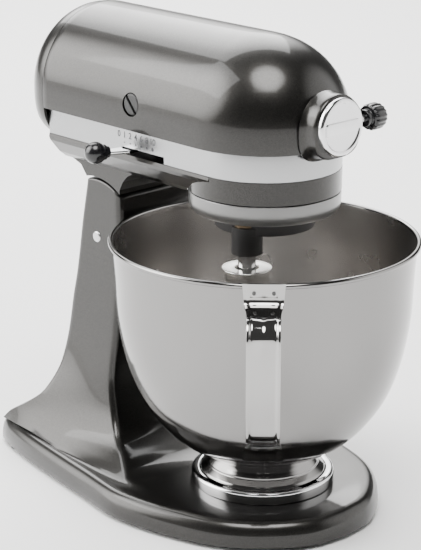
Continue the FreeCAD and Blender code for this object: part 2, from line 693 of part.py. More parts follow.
def make_gear_train():
    """From the worm wheel down to the planetary, and forward to the power hub."""
    axis = Vector(0, BOWL_Y, 0)
    shaft = rod("centre_shaft_bar", "centre_shaft_radius", 62, axis + Vector(0, 0, 224))
    pin_hole = rod("shaft_groove_hole", 2, 40, axis + Vector(-20, 0, 236), X_AXIS)
    keep("centre_shaft", cut("centre_shaft_drilled", shaft, pin_hole))
    keep("centre_bushing", turned("centre_bushing", [
        ("centre_shaft_radius + 0.05", 0), (10, 0), (10, 11), ("centre_shaft_radius + 0.05", 11)]),
        axis + Vector(0, 0, 251.5))
    mesh = math.degrees(math.atan2(worm_centre(0).y - BOWL_Y, size("worm_wheel_x")))
    centre = tooth_gear("centre_gear", "centre_teeth", "train_module", 9, "centre_shaft_radius")
    keep("centre_gear", centre)
    turn_about_z(centre, axis + Vector(0, 0, 264.5), mesh)
    crown = bevel_gear(size("bevel_centre_teeth"), size("bevel_hub_teeth"), size("bevel_module"),
                       4.5, size("centre_shaft_radius"), 5, 13.5)
    crown_height = size("hub_axis_z") - 12.8
    keep("centre_bevel_gear", solid("centre_bevel_gear", crown), axis + Vector(0, 0, crown_height))

    pin_radius = size("worm_pin_radius") + 0.05
    wheel = tooth_gear("worm_wheel", "worm_wheel_teeth", 1.0, 9, pin_radius)
    keep("worm_wheel", wheel)
    turn_about_z(wheel, worm_centre(294.5), 0)
    pinion = tooth_gear("worm_wheel_pinion", "worm_pinion_teeth", "train_module", 29.8, pin_radius)
    keep("worm_wheel_pinion", pinion)
    turn_about_z(pinion, worm_centre(264.5), mesh + 180 + 180 / size("worm_pinion_teeth"))
    keep("worm_wheel_pin", rod("worm_wheel_pin_bar", "worm_pin_radius", 55.4, worm_centre(256.1)))
    legs, collars = [], []
    for number, (x, y) in enumerate(BRACKET_LEGS):
        legs.append(rod(f"bracket_leg_{number}", 2, 52.4, Vector(x, y, 256.1)))
        collars.append(rod(f"bracket_collar_{number}", 4, 46.5, Vector(x, y, 260)))
    centre_y = worm_centre(0).y
    bridge = padded("worm_bracket_bridge", [(-23, -34), (46, centre_y - 8), (46, -17), (-23, -21)], 4,
                    [(size("worm_pin_radius"), size("worm_wheel_x"), centre_y)])
    bridge.Placement.Base = Vector(0, 0, 306.5)
    keep("worm_gear_bracket", fuse("worm_gear_bracket_body", [bridge] + collars + legs))

    ring = tooth_gear("ring_gear", "ring_teeth", "planet_module", 10, 47.3, inward=True)
    keep("ring_gear", ring)
    turn_about_z(ring, axis + Vector(0, 0, 245.5), PLANET_ANGLE % (360 / size("ring_teeth")))

    # planetary: carrier with the sleeve below it, drip ring round it
    carrier = turned("carrier_disc", [
        ("centre_shaft_radius", "hub_disc_bottom"), ("hub_disc_radius", "hub_disc_bottom"),
        ("hub_disc_radius", "carrier_bottom"), ("carrier_radius", "carrier_bottom + 3"),
        ("carrier_radius", "carrier_top"), ("centre_shaft_radius", "carrier_top")])
    carrier.Placement.Base = axis
    sleeve = rod("carrier_sleeve", "sleeve_radius", 20, planet_centre(size("sleeve_bottom")))
    bore = rod("carrier_bore", 9, 60, planet_centre(size("sleeve_bottom") - 5))
    groove_hole = rod("carrier_groove_hole", 2, 34, axis + Vector(-17, 0, 236), X_AXIS)
    bored = cut("carrier_bored", fuse("carrier_with_sleeve", [carrier, sleeve]),
                fuse("carrier_tools", [bore, groove_hole]))
    keep("planetary_carrier", bored)
    keep("agitator_bushing", turned("agitator_bushing", [
        ("agitator_shaft_radius + 0.05", 0), (9, 0), (9, 40), ("agitator_shaft_radius + 0.05", 40)]),
        planet_centre(size("sleeve_bottom") + 0.1))
    keep("planetary_groove_pin", rod("groove_pin_bar", 2, 33.6, axis + Vector(-16.8, 0, 236), X_AXIS))
    keep("drip_ring", turned("drip_ring", [
        ("carrier_radius + 0.05", "drip_top - 2"), ("carrier_radius + 0.05", "drip_bottom + 5"),
        ("carrier_radius + 0.4", "drip_bottom"), ("drip_radius - 4", "drip_bottom"),
        ("drip_radius - 1", "drip_bottom + 3"), ("drip_radius", "drip_bottom + 6.5"),
        ("drip_radius", "drip_top"), ("drip_radius - 3", "drip_top"),
        ("drip_radius - 3", "drip_top - 2")]), axis)

    # agitator: shaft, planet pinion, cross pin
    agitator = rod("agitator_bar", "agitator_shaft_radius", 80, planet_centre(175))
    pin_hole = rod("agitator_pin_hole", 2, 30, planet_centre(181) + Vector(-15, 0, 0), X_AXIS)
    keep("agitator_shaft", cut("agitator_shaft_body", agitator, pin_hole))
    cross_bar = rod("agitator_cross_bar", 2, 20, planet_centre(181) + Vector(-10, 0, 0), X_AXIS)
    keep("agitator_cross_pin", cross_bar)
    planet = tooth_gear("agitator_pinion", "planet_teeth", "planet_module", 9, "agitator_shaft_radius")
    keep("agitator_pinion", planet)
    turn_about_z(planet, planet_centre(246), PLANET_ANGLE + 180 / size("planet_teeth"))

    # power hub drive
    hub = size("hub_axis_z")
    keep("hub_bushing", turned("hub_bushing", [
        ("spindle_radius + 0.05", 0), ("bushing_radius", 0), ("bushing_radius", 19.5),
        ("spindle_radius + 0.05", 19.5)]), Vector(0, size("hub_seat_y"), hub), Y_AXIS)
    nose = rod("spindle_nose", "spindle_radius", 22, Vector(0, -123, hub), Y_AXIS)
    shank = rod("spindle_shank", 5, 22, Vector(0, -101, hub), Y_AXIS)
    socket = primitive("Box", "spindle_socket", Length="socket_side", Width=18, Height="socket_side")
    socket.Placement.Base = spot("0 - socket_side / 2", -124, "hub_axis_z - socket_side / 2")
    keep("hub_spindle", cut("hub_spindle_body", fuse("spindle_round", [nose, shank]), socket))
    drive = solid("hub_bevel_gear", bevel_gear(size("bevel_hub_teeth"), size("bevel_centre_teeth"),
                                               size("bevel_module"), 4.5, 5, 12, 10))
    keep("hub_bevel_gear", drive)
    drive.Placement = Placement(Vector(0, BOWL_Y - 16, hub),
                                facing(Y_AXIS) * Rotation(Z_AXIS, 90 + 180 / 16))


# ---------------------------------------------------------------- motor
def make_motor():
    """Armature on the head's axis, field round it, bearings and brushes."""
    hub = size("hub_axis_z")

    def along(y):
        return Vector(0, y, hub)

    keep("armature_shaft", rod("armature_bar", "motor_shaft_radius", 126, along(-16), Y_AXIS))
    worm = solid("motor_worm", worm_thread().cut(cylinder(1.0, 2, Vector(0, 0, -1))))
    keep("motor_worm", worm, along(-42), Y_AXIS)
    keep("commutator", turned("commutator", [
        ("motor_shaft_radius", 0), ("commutator_radius", 0), ("commutator_radius", 13),
        ("motor_shaft_radius", 13)]), along(1), Y_AXIS)
    keep("armature_core", turned("armature_core", [
        ("motor_shaft_radius", 0), ("core_radius", 0), ("core_radius", 44),
        ("motor_shaft_radius", 44)]),
        along(25), Y_AXIS)
    ends = [turned(f"armature_winding_{n}", [("motor_shaft_radius + 3", 0), (20, 0), (17, 7.5),
                                            ("motor_shaft_radius + 3", 7.5)]) for n in (0, 1)]
    ends[0].Placement = Placement(along(24.9), facing(Vector(0, -1, 0)))
    ends[1].Placement = Placement(along(69.1), facing(Y_AXIS))
    keep("armature_windings", group("armature_windings_pair", ends))
    fan = turned("cooling_fan", [("motor_shaft_radius", 0), ("fan_radius", 0), ("fan_radius", 1.6),
                                 (9, 1.6), (9, 9), ("motor_shaft_radius", 9)])
    blade = new_sketch(fan, "fan_blade")
    draw_outline(blade, [(8.5, 0), ("fan_radius - 1", 6), ("fan_radius - 1", 7.6), (8.5, 1.6)])
    blade_pad = pad(fan, blade, 9)
    pattern = fan.newObject("PartDesign::PolarPattern", "fan_blades")
    pattern.Originals = [blade_pad]
    pattern.Axis = (plane_of(fan, "Z_Axis"), [""])
    pattern.Angle = 360
    pattern.Occurrences = 12
    fan.Tip = pattern
    keep("cooling_fan", fan, along(79), Y_AXIS)
    keep("speed_governor", turned("speed_governor", [
        ("motor_shaft_radius", 0), (8, 0), (18, 3), (18, 5), (8, 8), ("motor_shaft_radius", 8)]),
        along(101), Y_AXIS)

    keep("field_laminations", turned("field_laminations", [
        ("field_inner", 0), ("field_outer", 0), ("field_outer", 42), ("field_inner", 42)]),
        along(26), Y_AXIS)
    coils = [turned(f"field_coil_{n}", [(28, 0), (38, 0), (36, 7), (29, 7)]) for n in (0, 1)]
    coils[0].Placement = Placement(along(25.9), facing(Vector(0, -1, 0)))
    coils[1].Placement = Placement(along(68.1), facing(Y_AXIS))
    keep("field_windings", group("field_windings_pair", coils))
    for name, y in (("front_motor_bracket", -8.5), ("rear_motor_bracket", 91)):
        keep(name, turned(name, [
            (11, 0), ("bracket_radius", 0), ("bracket_radius", 4), (15, 4), (15, 6), (11, 6)]),
            along(y), Y_AXIS)
    bearings = [turned(f"motor_bearing_{n}", [("motor_shaft_radius + 0.05", 0), (11, 0), (11, 6),
                                             ("motor_shaft_radius + 0.05", 6)]) for n in (0, 1)]
    for bearing, y in zip(bearings, (-8.5, 91)):
        bearing.Placement = Placement(along(y), facing(Y_AXIS))
    keep("motor_bearings", group("motor_bearing_pair", bearings))

    brush_y = size("brush_y")
    tubes, carbons, caps = [], [], []
    for side, name in ((-1, "left"), (1, "right")):
        outward = Vector(side, 0, 0)
        start = Vector(side * 19, brush_y, hub)
        tube = turned(f"brush_tube_{name}", [(5.5, 0), (7.5, 0), (7.5, 37.5), (5.5, 37.5)])
        tube.Placement = Placement(start, facing(outward))
        tubes.append(tube)
        carbon = primitive("Box", f"carbon_{name}", Length=18, Width=6, Height=6)
        carbon.Placement.Base = Vector(14.2 if side > 0 else -32.2, brush_y - 3, hub - 3)
        carbons.append(carbon)
        cap = rod(f"brush_cap_disc_{name}", 8.3, 3.4, Vector(side * 57, brush_y, hub), outward)
        slot = primitive("Box", f"brush_cap_slot_{name}", Length=2.4, Width=20, Height=2.4)
        slot.Placement = Placement(Vector(side * 59.2 + (0 if side > 0 else -2.4), brush_y, hub),
                                   Rotation(X_AXIS, 55))
        slot.Placement.Base = slot.Placement.multVec(Vector(0, -10, -1.2))
        caps.append(cut(f"brush_cap_{name}", cap, slot))
    keep("brush_holders", group("brush_holder_pair", tubes))
    keep("carbon_brushes", group("carbon_brush_pair", carbons))
    keep("brush_caps", group("brush_cap_pair", caps))


# ---------------------------------------------------------------- controls
def make_controls():
    """Speed lever with its link and board, hub cap and the attachment knob."""
    lever = padded("speed_lever_blade", [(-44.5, 12), (-44.5, 24), (-55, 24), (-70, 26.5), (-71, 19.5),
                                         (-56.5, 12)], "lever_thick")
    keep("speed_lever", lever, spot(0, 0, "lever_z"))
    ball = primitive("Sphere", "speed_ball", Radius="ball_radius", at=Vector(-76, 23, 264.5))
    collar = rod("speed_collar", 5.2, 4, Vector(-69.6, 21.7, 264.0), Vector(1, -0.2, 0))
    keep("speed_lever_knob", cut("speed_knob_body", fuse("speed_knob_round", [ball, collar]),
                                 primitive("Box", "speed_knob_seat", at=Vector(-71.2, 15, 261.95),
                                           Length=8, Width=14, Height="lever_thick + 0.1")))
    link = primitive("Box", "speed_link_strip", at=Vector(-47.4, 12, 0), Length=1.5, Width=96, Height=5)
    link.Placement.Base = Vector(-46.2, 12, size("lever_z") + size("lever_thick"))
    keep("speed_link", link)
    board = padded("speed_control_board", [(-30, -26), (30, -26), (30, 26), (-30, 26)], 2.4,
                   [(2, -24, -20), (2, 24, -20), (2, -24, 20), (2, 24, 20)])
    keep("speed_control_board", board, Vector(0, 116, size("hub_axis_z")), Y_AXIS)

    hub = size("hub_axis_z")
    front = size("hub_front_y")
    cap = turned("hub_cap", [
        (0, 0), ("cap_radius - 1.2", 0), ("cap_radius", 1.2), ("cap_radius", "cap_thick"),
        ("hub_bore - 0.2", "cap_thick"), ("hub_bore - 0.2", "cap_thick + 6"),
        ("hub_bore - 2.2", "cap_thick + 6"), ("hub_bore - 2.2", "cap_thick"), (0, "cap_thick")])
    grooves = new_sketch(cap, "cap_grooves")
    for low, high in ((-6.6, -4.4), (4.4, 6.6)):
        draw_outline(grooves, [(-15, low), (15, low), (15, high), (-15, high)])
    groove_cut = pad(cap, grooves, 0.8, "PartDesign::Pocket")
    groove_cut.Reversed = True
    cap.Tip = groove_cut
    keep("hub_cap", cap, spot(0, front, hub) - Vector(0, size("cap_thick"), 0), Y_AXIS)

    screw = rod("knob_screw", 3, 13, Vector(16.6, size("knob_y"), hub), X_AXIS)
    grip = turned("knob_grip", [(0, 0), (6, 0), (6, 3), ("knob_radius", 5), ("knob_radius", 14),
                                (6, 18), (0, 18)])
    grip.Placement = Placement(Vector(29.6, size("knob_y"), hub), facing(X_AXIS))
    keep("attachment_knob", grip)
    keep("attachment_knob_screw", screw)


# ---------------------------------------------------------------- bowl and whip
# outer radius and height of the bowl's wall, from the flat floor up to the bead
BOWL_PROFILE = [(36, 44.5), (50, 50.5), (64.9, 60), (79.1, 75), (91.6, 95), (100.1, 120),
                (105.4, 150), (107, 180), (108.6, 203.4)]


def bowl_shell():
    """The spun steel bowl with its rolled bead."""
    outer = Part.BSplineCurve()
    outer.interpolate([Vector(radius, 0, z) for radius, z in BOWL_PROFILE])
    wall = size("bowl_wall")
    inner_points = []
    for radius, z in BOWL_PROFILE:
        along = outer.tangent(outer.parameter(Vector(radius, 0, z)))[0]
        inner_points.append(Vector(radius - wall * along.z, 0, z + wall * along.x))
    inner = Part.BSplineCurve()
    inner.interpolate(inner_points)
    low_out, low_in = Vector(0, 0, BOWL_PROFILE[0][1]), Vector(0, 0, inner_points[0].z)
    first = Vector(BOWL_PROFILE[0][0], 0, BOWL_PROFILE[0][1])
    last = Vector(BOWL_PROFILE[-1][0], 0, BOWL_PROFILE[-1][1])
    edges = [Part.LineSegment(low_out, first).toShape(), outer.toShape(),
             Part.LineSegment(last, inner_points[-1]).toShape(), inner.toShape(),
             Part.LineSegment(inner_points[0], low_in).toShape(),
             Part.LineSegment(low_in, low_out).toShape()]
    profile = Part.Face(Part.Wire(Part.__sortEdges__(edges)))
    shape = profile.revolve(Vector(), Z_AXIS, 360)
    bead_centre = Vector(0, 0, size("bowl_bead_z"))
    bead = Part.makeTorus(size("bowl_bead_radius"), size("bowl_bead"), bead_centre)
    shape = shape.fuse(bead)
    shape.translate(Vector(0, BOWL_Y, 0))
    return shape


def handle():
    """A bent strap from under the bead, out and down, back to the lower wall."""
    reach = size("handle_reach")
    path = [(111.2, 202), (110.2, 190), (reach, 186.5), (136, 112), (90.5, 82.5), (77.5, 67.5)]
    corners = [0, 5, 15, 26, 12, 0]
    edges = []
    at = Vector(path[0][0], 0, path[0][1])
    for before, here, after, radius in zip(path, path[1:], path[2:], corners[1:]):
        corner = Vector(here[0], 0, here[1])
        towards = (Vector(before[0], 0, before[1]) - corner).normalize()
        onwards = (Vector(after[0], 0, after[1]) - corner).normalize()
        half = towards.getAngle(onwards) / 2
        setback = radius / math.tan(half)
        start, end = corner + towards * setback, corner + onwards * setback
        bisector = (towards + onwards).normalize()
        middle = corner + bisector * (radius / math.sin(half) - radius)
        edges.append(Part.LineSegment(at, start).toShape())
        edges.append(Part.Arc(start, middle, end).toShape())
        at = end
    edges.append(Part.LineSegment(at, Vector(path[-1][0], 0, path[-1][1])).toShape())
    wire = Part.Wire(edges)
    thick, width, plate = size("strap_thick"), size("handle_width"), size("handle_plate")

    def strap(wide, between):
        """The strap's side outline pushed to its width, kept between two heights."""
        start = wire.copy()
        start.translate(Vector(0, -wide / 2, 0))
        face = start.makeOffset2D(thick, 2, True, True, False)
        body = face.extrude(Vector(0, wide, 0))
        return body.common(block(60, 200, -wide, wide, *between))

    shape = strap(width, (50, 230)).fuse(strap(plate, (190, 230))).fuse(strap(plate, (50, 84)))
    shape.rotate(Vector(), Z_AXIS, size("handle_azimuth"))
    shape.translate(Vector(0, BOWL_Y, 0))
    return shape


def whip_wires():
    """Nested wire loops, each a smooth curve from the hub down and back up."""
    half, bottom, top = size("whip_half"), size("whip_bottom"), size("whip_hub_bottom")
    loops = []
    count = int(size("wire_loops"))
    for number in range(count):
        drop = bottom + 2.6 * number
        side = [(11, top + 6), (12.5, top), (20, 158), (38, 135), (half - 2, 112), (half, 95),
                (half - 8, 74), (half - 26, drop + 7), (0, drop)]
        points = [Vector(-x, 0, z) for x, z in side] + [Vector(x, 0, z) for x, z in reversed(side[:-1])]
        curve = Part.BSplineCurve()
        curve.interpolate(points)
        path = Part.Wire(curve.toShape())
        ring = Part.Wire(Part.Circle(points[0], curve.tangent(curve.FirstParameter)[0],
                                     size("wire_radius")).toShape())
        wire = path.makePipeShell([ring], True, True)
        wire.rotate(Vector(), Z_AXIS, 18 + 180 * number / count)
        loops.append(wire)
    whole = Part.Compound(loops)
    whole.translate(planet_centre(0))
    return whole


def make_bowl():
    """Bowl, its foot ring with four lugs, and the handle."""
    keep("bowl_shell", solid("bowl_shell", bowl_shell()))
    ring = turned("bowl_foot_ring", [
        (35.4, "bowl_floor_z"), (37.5, 37), (44.4, 30.8), (44.4, 24.6), ("foot_ring_radius", 24.6),
        ("foot_ring_radius", 31.6), (39.4, 38), (37, "bowl_floor_z")])
    lug = new_sketch(ring, "foot_lug", height=24.6)
    draw_outline(lug, [(45.2, -8), (48.6, -8), (48.6, 8), (45.2, 8)])
    lug_pad = pad(ring, lug, 2.4)
    pattern = ring.newObject("PartDesign::PolarPattern", "foot_lugs")
    pattern.Originals = [lug_pad]
    pattern.Axis = (plane_of(ring, "Z_Axis"), [""])
    pattern.Angle = 360
    pattern.Occurrences = 4
    ring.Tip = pattern
    keep("bowl_foot_ring", ring)
    turn_about_z(ring, Vector(0, BOWL_Y, 0), 45)
    keep("bowl_handle", solid("bowl_handle", handle()))


def make_whip():
    """The wire whip: a capped hub and its wires."""
    hub = turned("whip_hub_round", [
        ("agitator_shaft_radius + 0.15", "whip_hub_bottom + 4"), (9, "whip_hub_bottom + 4"),
        (9, "whip_hub_bottom"), (14, "whip_hub_bottom"), (16, 184), (16, 189),
        ("whip_hub_radius", 190.4), ("whip_hub_radius", "whip_hub_top"), (8.5, "whip_hub_top"),
        (8.5, 188), ("agitator_shaft_radius + 0.15", 188)])
    hub.Placement.Base = planet_centre(0)
    slot = rod("whip_pin_slot", 2.05, 24, planet_centre(181) + Vector(-12, 0, 0), X_AXIS)
    drilled = cut("whip_hub_slotted", hub, slot)
    wires = solid("whip_wires", whip_wires())
    seats = cut("whip_hub_seated", drilled, wires)
    keep("whip_hub", seats)
    keep("whip_wires", wires)


def check_and_export():
    """Stop on any failed object, then write one STEP file per sub-part."""
    doc.recompute()
    for obj in doc.Objects:
        if "Invalid" in obj.State or "Error" in obj.State:
            raise RuntimeError(f"{obj.Label} did not compute: {obj.State}")
    os.makedirs("parts", exist_ok=True)
    for obj in SUB_PARTS:
        shape = obj.Shape
        if shape.isNull() or not shape.isValid():
            raise RuntimeError(f"{obj.Label} has no valid shape")
        shape.exportStep(f"parts/{obj.Label}.step")
        print(f"{obj.Label}: {len(shape.Solids)} solid(s), {shape.Volume / 1000:.2f} cm3")


make_stand()
make_head_shells()
make_gear_train()
make_motor()
make_controls()
make_bowl()
make_whip()
check_and_export()
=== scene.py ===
"""Tilt-head stand mixer: finished surfaces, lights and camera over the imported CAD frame.

Lengths inside the shape functions are in millimetres and become metres when a mesh is made.
The frame is the model's own: +Z up, the power hub towards -Y, the speed lever on -X.
"""
import json
import math
import bmesh
import bpy
from mathutils import Matrix, Vector


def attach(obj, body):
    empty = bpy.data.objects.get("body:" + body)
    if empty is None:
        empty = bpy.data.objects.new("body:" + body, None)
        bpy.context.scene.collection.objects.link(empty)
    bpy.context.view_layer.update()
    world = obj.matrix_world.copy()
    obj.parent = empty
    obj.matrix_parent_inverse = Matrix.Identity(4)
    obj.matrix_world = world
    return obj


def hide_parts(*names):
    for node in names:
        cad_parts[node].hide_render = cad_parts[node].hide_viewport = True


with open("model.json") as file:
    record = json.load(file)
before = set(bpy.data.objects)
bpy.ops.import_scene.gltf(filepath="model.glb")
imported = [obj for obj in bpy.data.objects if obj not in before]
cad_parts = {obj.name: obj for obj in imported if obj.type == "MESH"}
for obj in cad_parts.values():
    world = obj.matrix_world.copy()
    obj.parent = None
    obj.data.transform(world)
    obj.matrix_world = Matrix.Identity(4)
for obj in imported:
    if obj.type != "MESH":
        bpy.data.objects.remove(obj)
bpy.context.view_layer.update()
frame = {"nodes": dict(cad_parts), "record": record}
NODES = frame["nodes"]
MM = 0.001

# ---------------------------------------------------------------- driving dimensions
BOWL_Y = -68.0          # the bowl's axis
SEAM_Y = 106.0          # where the rear cover starts
HEAD_R = 60.0           # half-width of the head, and its height above its axis
HEAD_Z = 293.0          # the head's axis
HEAD_DEEP = 43.0        # depth of the head below its axis
NOSE_Y, NOSE_LENGTH = -60.0, 67.0
TAIL_LENGTH = 37.8
COVER_SCREW_Y, INLET_Y = 141.8, 115.5
ROUNDNESS = 2.15        # exponent of the nose's and tail's outline
BAND_LOW, BAND_HIGH, BAND_R, BAND_THICK = 260.1, 279.9, 54.2, 2.0
SLOT_Y = (-22.0, 26.0)
HUB_Z, HUB_R, HUB_FRONT = 299.0, 22.0, -138.5
PIN_Y, PIN_Z, CROWN_R = 71.8, 183.6, 44.8
BRUSH_Y = 7.0           # the brush caps' axis, at the hub's height
NECK_TOP, NECK_FOOT, COLUMN_FOOT = 222, 184, 24
DECK_EDGE_Z = 21.6      # where the deck turns into the base's rounded rim
BOWL_THICK = 1.0
BEAD_R, BEAD_Z, BEAD_THICK = 109.5, 204.9, 1.9
PLANET = (-26.78, -77.75)
HANDLE_TURN = math.radians(225.4)


# ---------------------------------------------------------------- mesh helpers
def make(name, verts, faces, material, body, stands_for=(), slot=None, sharp=38):
    """A mesh object from millimetre points, smoothed up to a sharp angle, riding a CAD body."""
    mesh = bpy.data.meshes.new(name)
    mesh.from_pydata([Vector(v) * MM for v in verts], [], faces)
    return dress(name, mesh, material, body, stands_for, sharp)


def dress(name, mesh, material, body, stands_for=(), sharp=38):
    """Clean a mesh, give it material and shading and tie it to its body."""
    work = bmesh.new()
    work.from_mesh(mesh)
    bmesh.ops.remove_doubles(work, verts=work.verts, dist=2e-6)
    bmesh.ops.dissolve_degenerate(work, edges=work.edges, dist=1e-6)
    bmesh.ops.recalc_face_normals(work, faces=work.faces)
    work.to_mesh(mesh)
    work.free()
    mesh.shade_smooth()
    mesh.set_sharp_from_angle(angle=math.radians(sharp))
    obj = bpy.data.objects.new(name, mesh)
    bpy.context.scene.collection.objects.link(obj)
    for item in material if isinstance(material, (list, tuple)) else [material]:
        mesh.materials.append(item)
    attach(obj, body)
    if stands_for:
        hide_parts(*stands_for)
    return obj


def loft(rows, closed_rows=False, caps=True):
    """Quads between equal closed loops of points; the two end loops are capped."""
    count = len(rows[0])
    verts = [point for row in rows for point in row]
    faces = []
    last = len(rows) if closed_rows else len(rows) - 1
    for row in range(last):
        here, there = row * count, (row + 1) % len(rows) * count
        for k in range(count):
            after = (k + 1) % count
            faces.append((here + k, here + after, there + after, there + k))
    if caps and not closed_rows:
        faces.append(tuple(range(count)))
        faces.append(tuple(range((len(rows) - 1) * count, len(rows) * count)))
    return verts, faces


def mirrored_cap(faces, start, count):
    """Close a loop that is its own mirror image with strips from side to side."""
    for k in range(count // 2):
        strip = [start + k, start + k + 1, start + count - k - 1, start + (count - k) % count]
        faces.append(tuple(dict.fromkeys(strip)))


def soften(points, radius, closed=True, steps=5):
    """Round the corners of an outline. radius is one number or one per corner."""
    radii = radius if isinstance(radius, (list, tuple)) else [radius] * len(points)
    result = []
    count = len(points)
    for index, (point, reach) in enumerate(zip(points, radii)):
        if reach == 0 or (not closed and index in (0, count - 1)):
            result.append(tuple(point))
            continue
        here = Vector(point)
        before, after = Vector(points[index - 1]), Vector(points[(index + 1) % count])
        start = here + (before - here).normalized() * min(reach, (before - here).length * 0.49)
        end = here + (after - here).normalized() * min(reach, (after - here).length * 0.49)
        for step in range(steps + 1):
            t = step / steps
            result.append(tuple(start * (1 - t) ** 2 + here * 2 * t * (1 - t) + end * t * t))
    return result


def lathe(profile, centre=(0, 0, 0), axis=(0, 0, 1), segments=144):
    """A closed (radius, height) outline turned about an axis, with fans where it meets the axis."""
    turn = Vector((0, 0, 1)).rotation_difference(Vector(axis)).to_matrix()
    middle = Vector(centre)
    verts, rings = [], []
    for radius, height in profile:
        rings.append(len(verts))
        for step in range(segments if radius > 0.02 else 1):
            angle = 2 * math.pi * step / segments
            point = Vector((radius * math.cos(angle), radius * math.sin(angle), height))
            verts.append(tuple(middle + turn @ point))
    faces = []
    for k in range(len(profile)):
        after = (k + 1) % len(profile)
        wide = [profile[k][0] > 0.02, profile[after][0] > 0.02]
        if not any(wide):
            continue
        for step in range(segments):
            near, far = step, (step + 1) % segments
            quad = [rings[k] + near * wide[0], rings[k] + far * wide[0],
                    rings[after] + far * wide[1], rings[after] + near * wide[1]]
            faces.append(tuple(dict.fromkeys(quad)))
    return verts, faces


def catmull(points, steps):
    """A smooth open line through points of any dimension."""
    points = [Vector(point) for point in points]
    padded = [points[0] * 2 - points[1]] + points + [points[-1] * 2 - points[-2]]
    line = []
    for a, b, c, d in zip(padded, padded[1:], padded[2:], padded[3:]):
        for step in range(steps):
            t = step / steps
            line.append(0.5 * (2 * b + (c - a) * t + (2 * a - 5 * b + 4 * c - d) * t * t
                               + (3 * b - a - 3 * c + d) * t ** 3))
    return line + [points[-1]]


def bent_line(points, radii, steps=8):
    """A line with round corners, as points."""
    return [Vector(point) for point in soften(points, radii, closed=False, steps=steps)]


def sweep(path, section):
    """A section of (across, out) points, or one per path point, moved along a path across Y."""
    side = Vector((0, 1, 0))
    rows = []
    for index, here in enumerate(path):
        ahead = path[min(index + 1, len(path) - 1)] - path[max(index - 1, 0)]
        out = side.cross(ahead.normalized()).normalized()
        outline = section[index] if isinstance(section[0], list) else section
        rows.append([tuple(here + side * a + out * b) for a, b in outline])
    return loft(rows)


def carve(obj, verts, faces):
    """Cut a closed solid out of an object for good."""
    mesh = bpy.data.meshes.new("cutter")
    mesh.from_pydata([Vector(v) * MM for v in verts], [], faces)
    work = bmesh.new()
    work.from_mesh(mesh)
    bmesh.ops.remove_doubles(work, verts=work.verts, dist=2e-6)
    bmesh.ops.recalc_face_normals(work, faces=work.faces)
    work.to_mesh(mesh)
    work.free()
    tool = bpy.data.objects.new("cutter", mesh)
    bpy.context.scene.collection.objects.link(tool)
    modifier = obj.modifiers.new("carve", "BOOLEAN")
    modifier.operation = "DIFFERENCE"
    modifier.solver = "EXACT"
    modifier.object = tool
    bpy.context.view_layer.update()
    graph = bpy.context.evaluated_depsgraph_get()
    result = bpy.data.meshes.new_from_object(obj.evaluated_get(graph))
    obj.modifiers.remove(modifier)
    bpy.data.objects.remove(tool)
    old = obj.data
    obj.data = result
    bpy.data.meshes.remove(old)
    result.set_sharp_from_angle(angle=math.radians(38))


# ---------------------------------------------------------------- materials
def shader(name, color, metallic=0.0, roughness=0.5, coat=0.0, coat_roughness=0.03, ior=1.5):
    """A Principled material with plain socket values."""
    material = bpy.data.materials.new(name)
    material.use_nodes = True
    main = material.node_tree.nodes["Principled BSDF"]
    main.inputs["Base Color"].default_value = (*color, 1)
    main.inputs["Metallic"].default_value = metallic
    main.inputs["Roughness"].default_value = roughness
    main.inputs["Coat Weight"].default_value = coat
    main.inputs["Coat Roughness"].default_value = coat_roughness
    main.inputs["IOR"].default_value = ior
    return material


def node(material, kind, **values):
    """Add a node with input values to a material or world."""
    item = material.node_tree.nodes.new("ShaderNode" + kind)
    for key, value in values.items():
        item.inputs[key.replace("_", " ")].default_value = value
    return item


def link(material, start, end):
    """Join two sockets."""
    material.node_tree.links.new(start, end)


def grain(material, scale, stretch, strength, distance=0.0002):
    """A fine bump from noise, stretched along one direction for brushing."""
    place = node(material, "TexCoord")
    turn = node(material, "Mapping", Scale=stretch)
    noise = node(material, "TexNoise", Scale=scale, Detail=3.0)
    bump = node(material, "Bump", Strength=strength, Distance=distance)
    link(material, place.outputs["Object"], turn.inputs["Vector"])
    link(material, turn.outputs["Vector"], noise.inputs["Vector"])
    link(material, noise.outputs["Fac"], bump.inputs["Height"])
    main = material.node_tree.nodes["Principled BSDF"]
    link(material, bump.outputs["Normal"], main.inputs["Normal"])


def uneven(material):
    """Let the roughness wander a little over the surface."""
    rough = material.node_tree.nodes["Principled BSDF"].inputs["Roughness"]
    place = node(material, "TexCoord")
    noise = node(material, "TexNoise", Scale=34.0, Detail=4.0)
    reach = node(material, "MapRange")
    reach.inputs["To Min"].default_value = rough.default_value * 0.82
    reach.inputs["To Max"].default_value = rough.default_value * 1.18
    link(material, place.outputs["Object"], noise.inputs["Vector"])
    link(material, noise.outputs["Fac"], reach.inputs["Value"])
    link(material, reach.outputs["Result"], rough)


def flake_paint():
    """Dark pewter paint: fine metal flakes of uneven brightness under a clear coat."""
    paint = shader("pewter_paint", (0.07, 0.068, 0.064), 0.9, 0.34, 0.6, 0.07)
    main = paint.node_tree.nodes["Principled BSDF"]
    place = node(paint, "TexCoord")
    flakes = node(paint, "TexVoronoi", Scale=3800.0)
    link(paint, place.outputs["Object"], flakes.inputs["Vector"])
    tone = node(paint, "ValToRGB")
    tone.color_ramp.elements[0].color = (0.014, 0.0135, 0.0125, 1)
    tone.color_ramp.elements[1].color = (0.038, 0.0365, 0.034, 1)
    split = node(paint, "SeparateColor")
    link(paint, flakes.outputs["Color"], split.inputs["Color"])
    link(paint, split.outputs["Red"], tone.inputs["Fac"])
    link(paint, tone.outputs["Color"], main.inputs["Base Color"])
    return paint


def brushed(name, color, roughness, stretch, strength):
    """Metal with a drawn grain."""
    metal = shader(name, color, 1.0, roughness)
    grain(metal, 120.0, stretch, strength, 0.0001)
    return metal


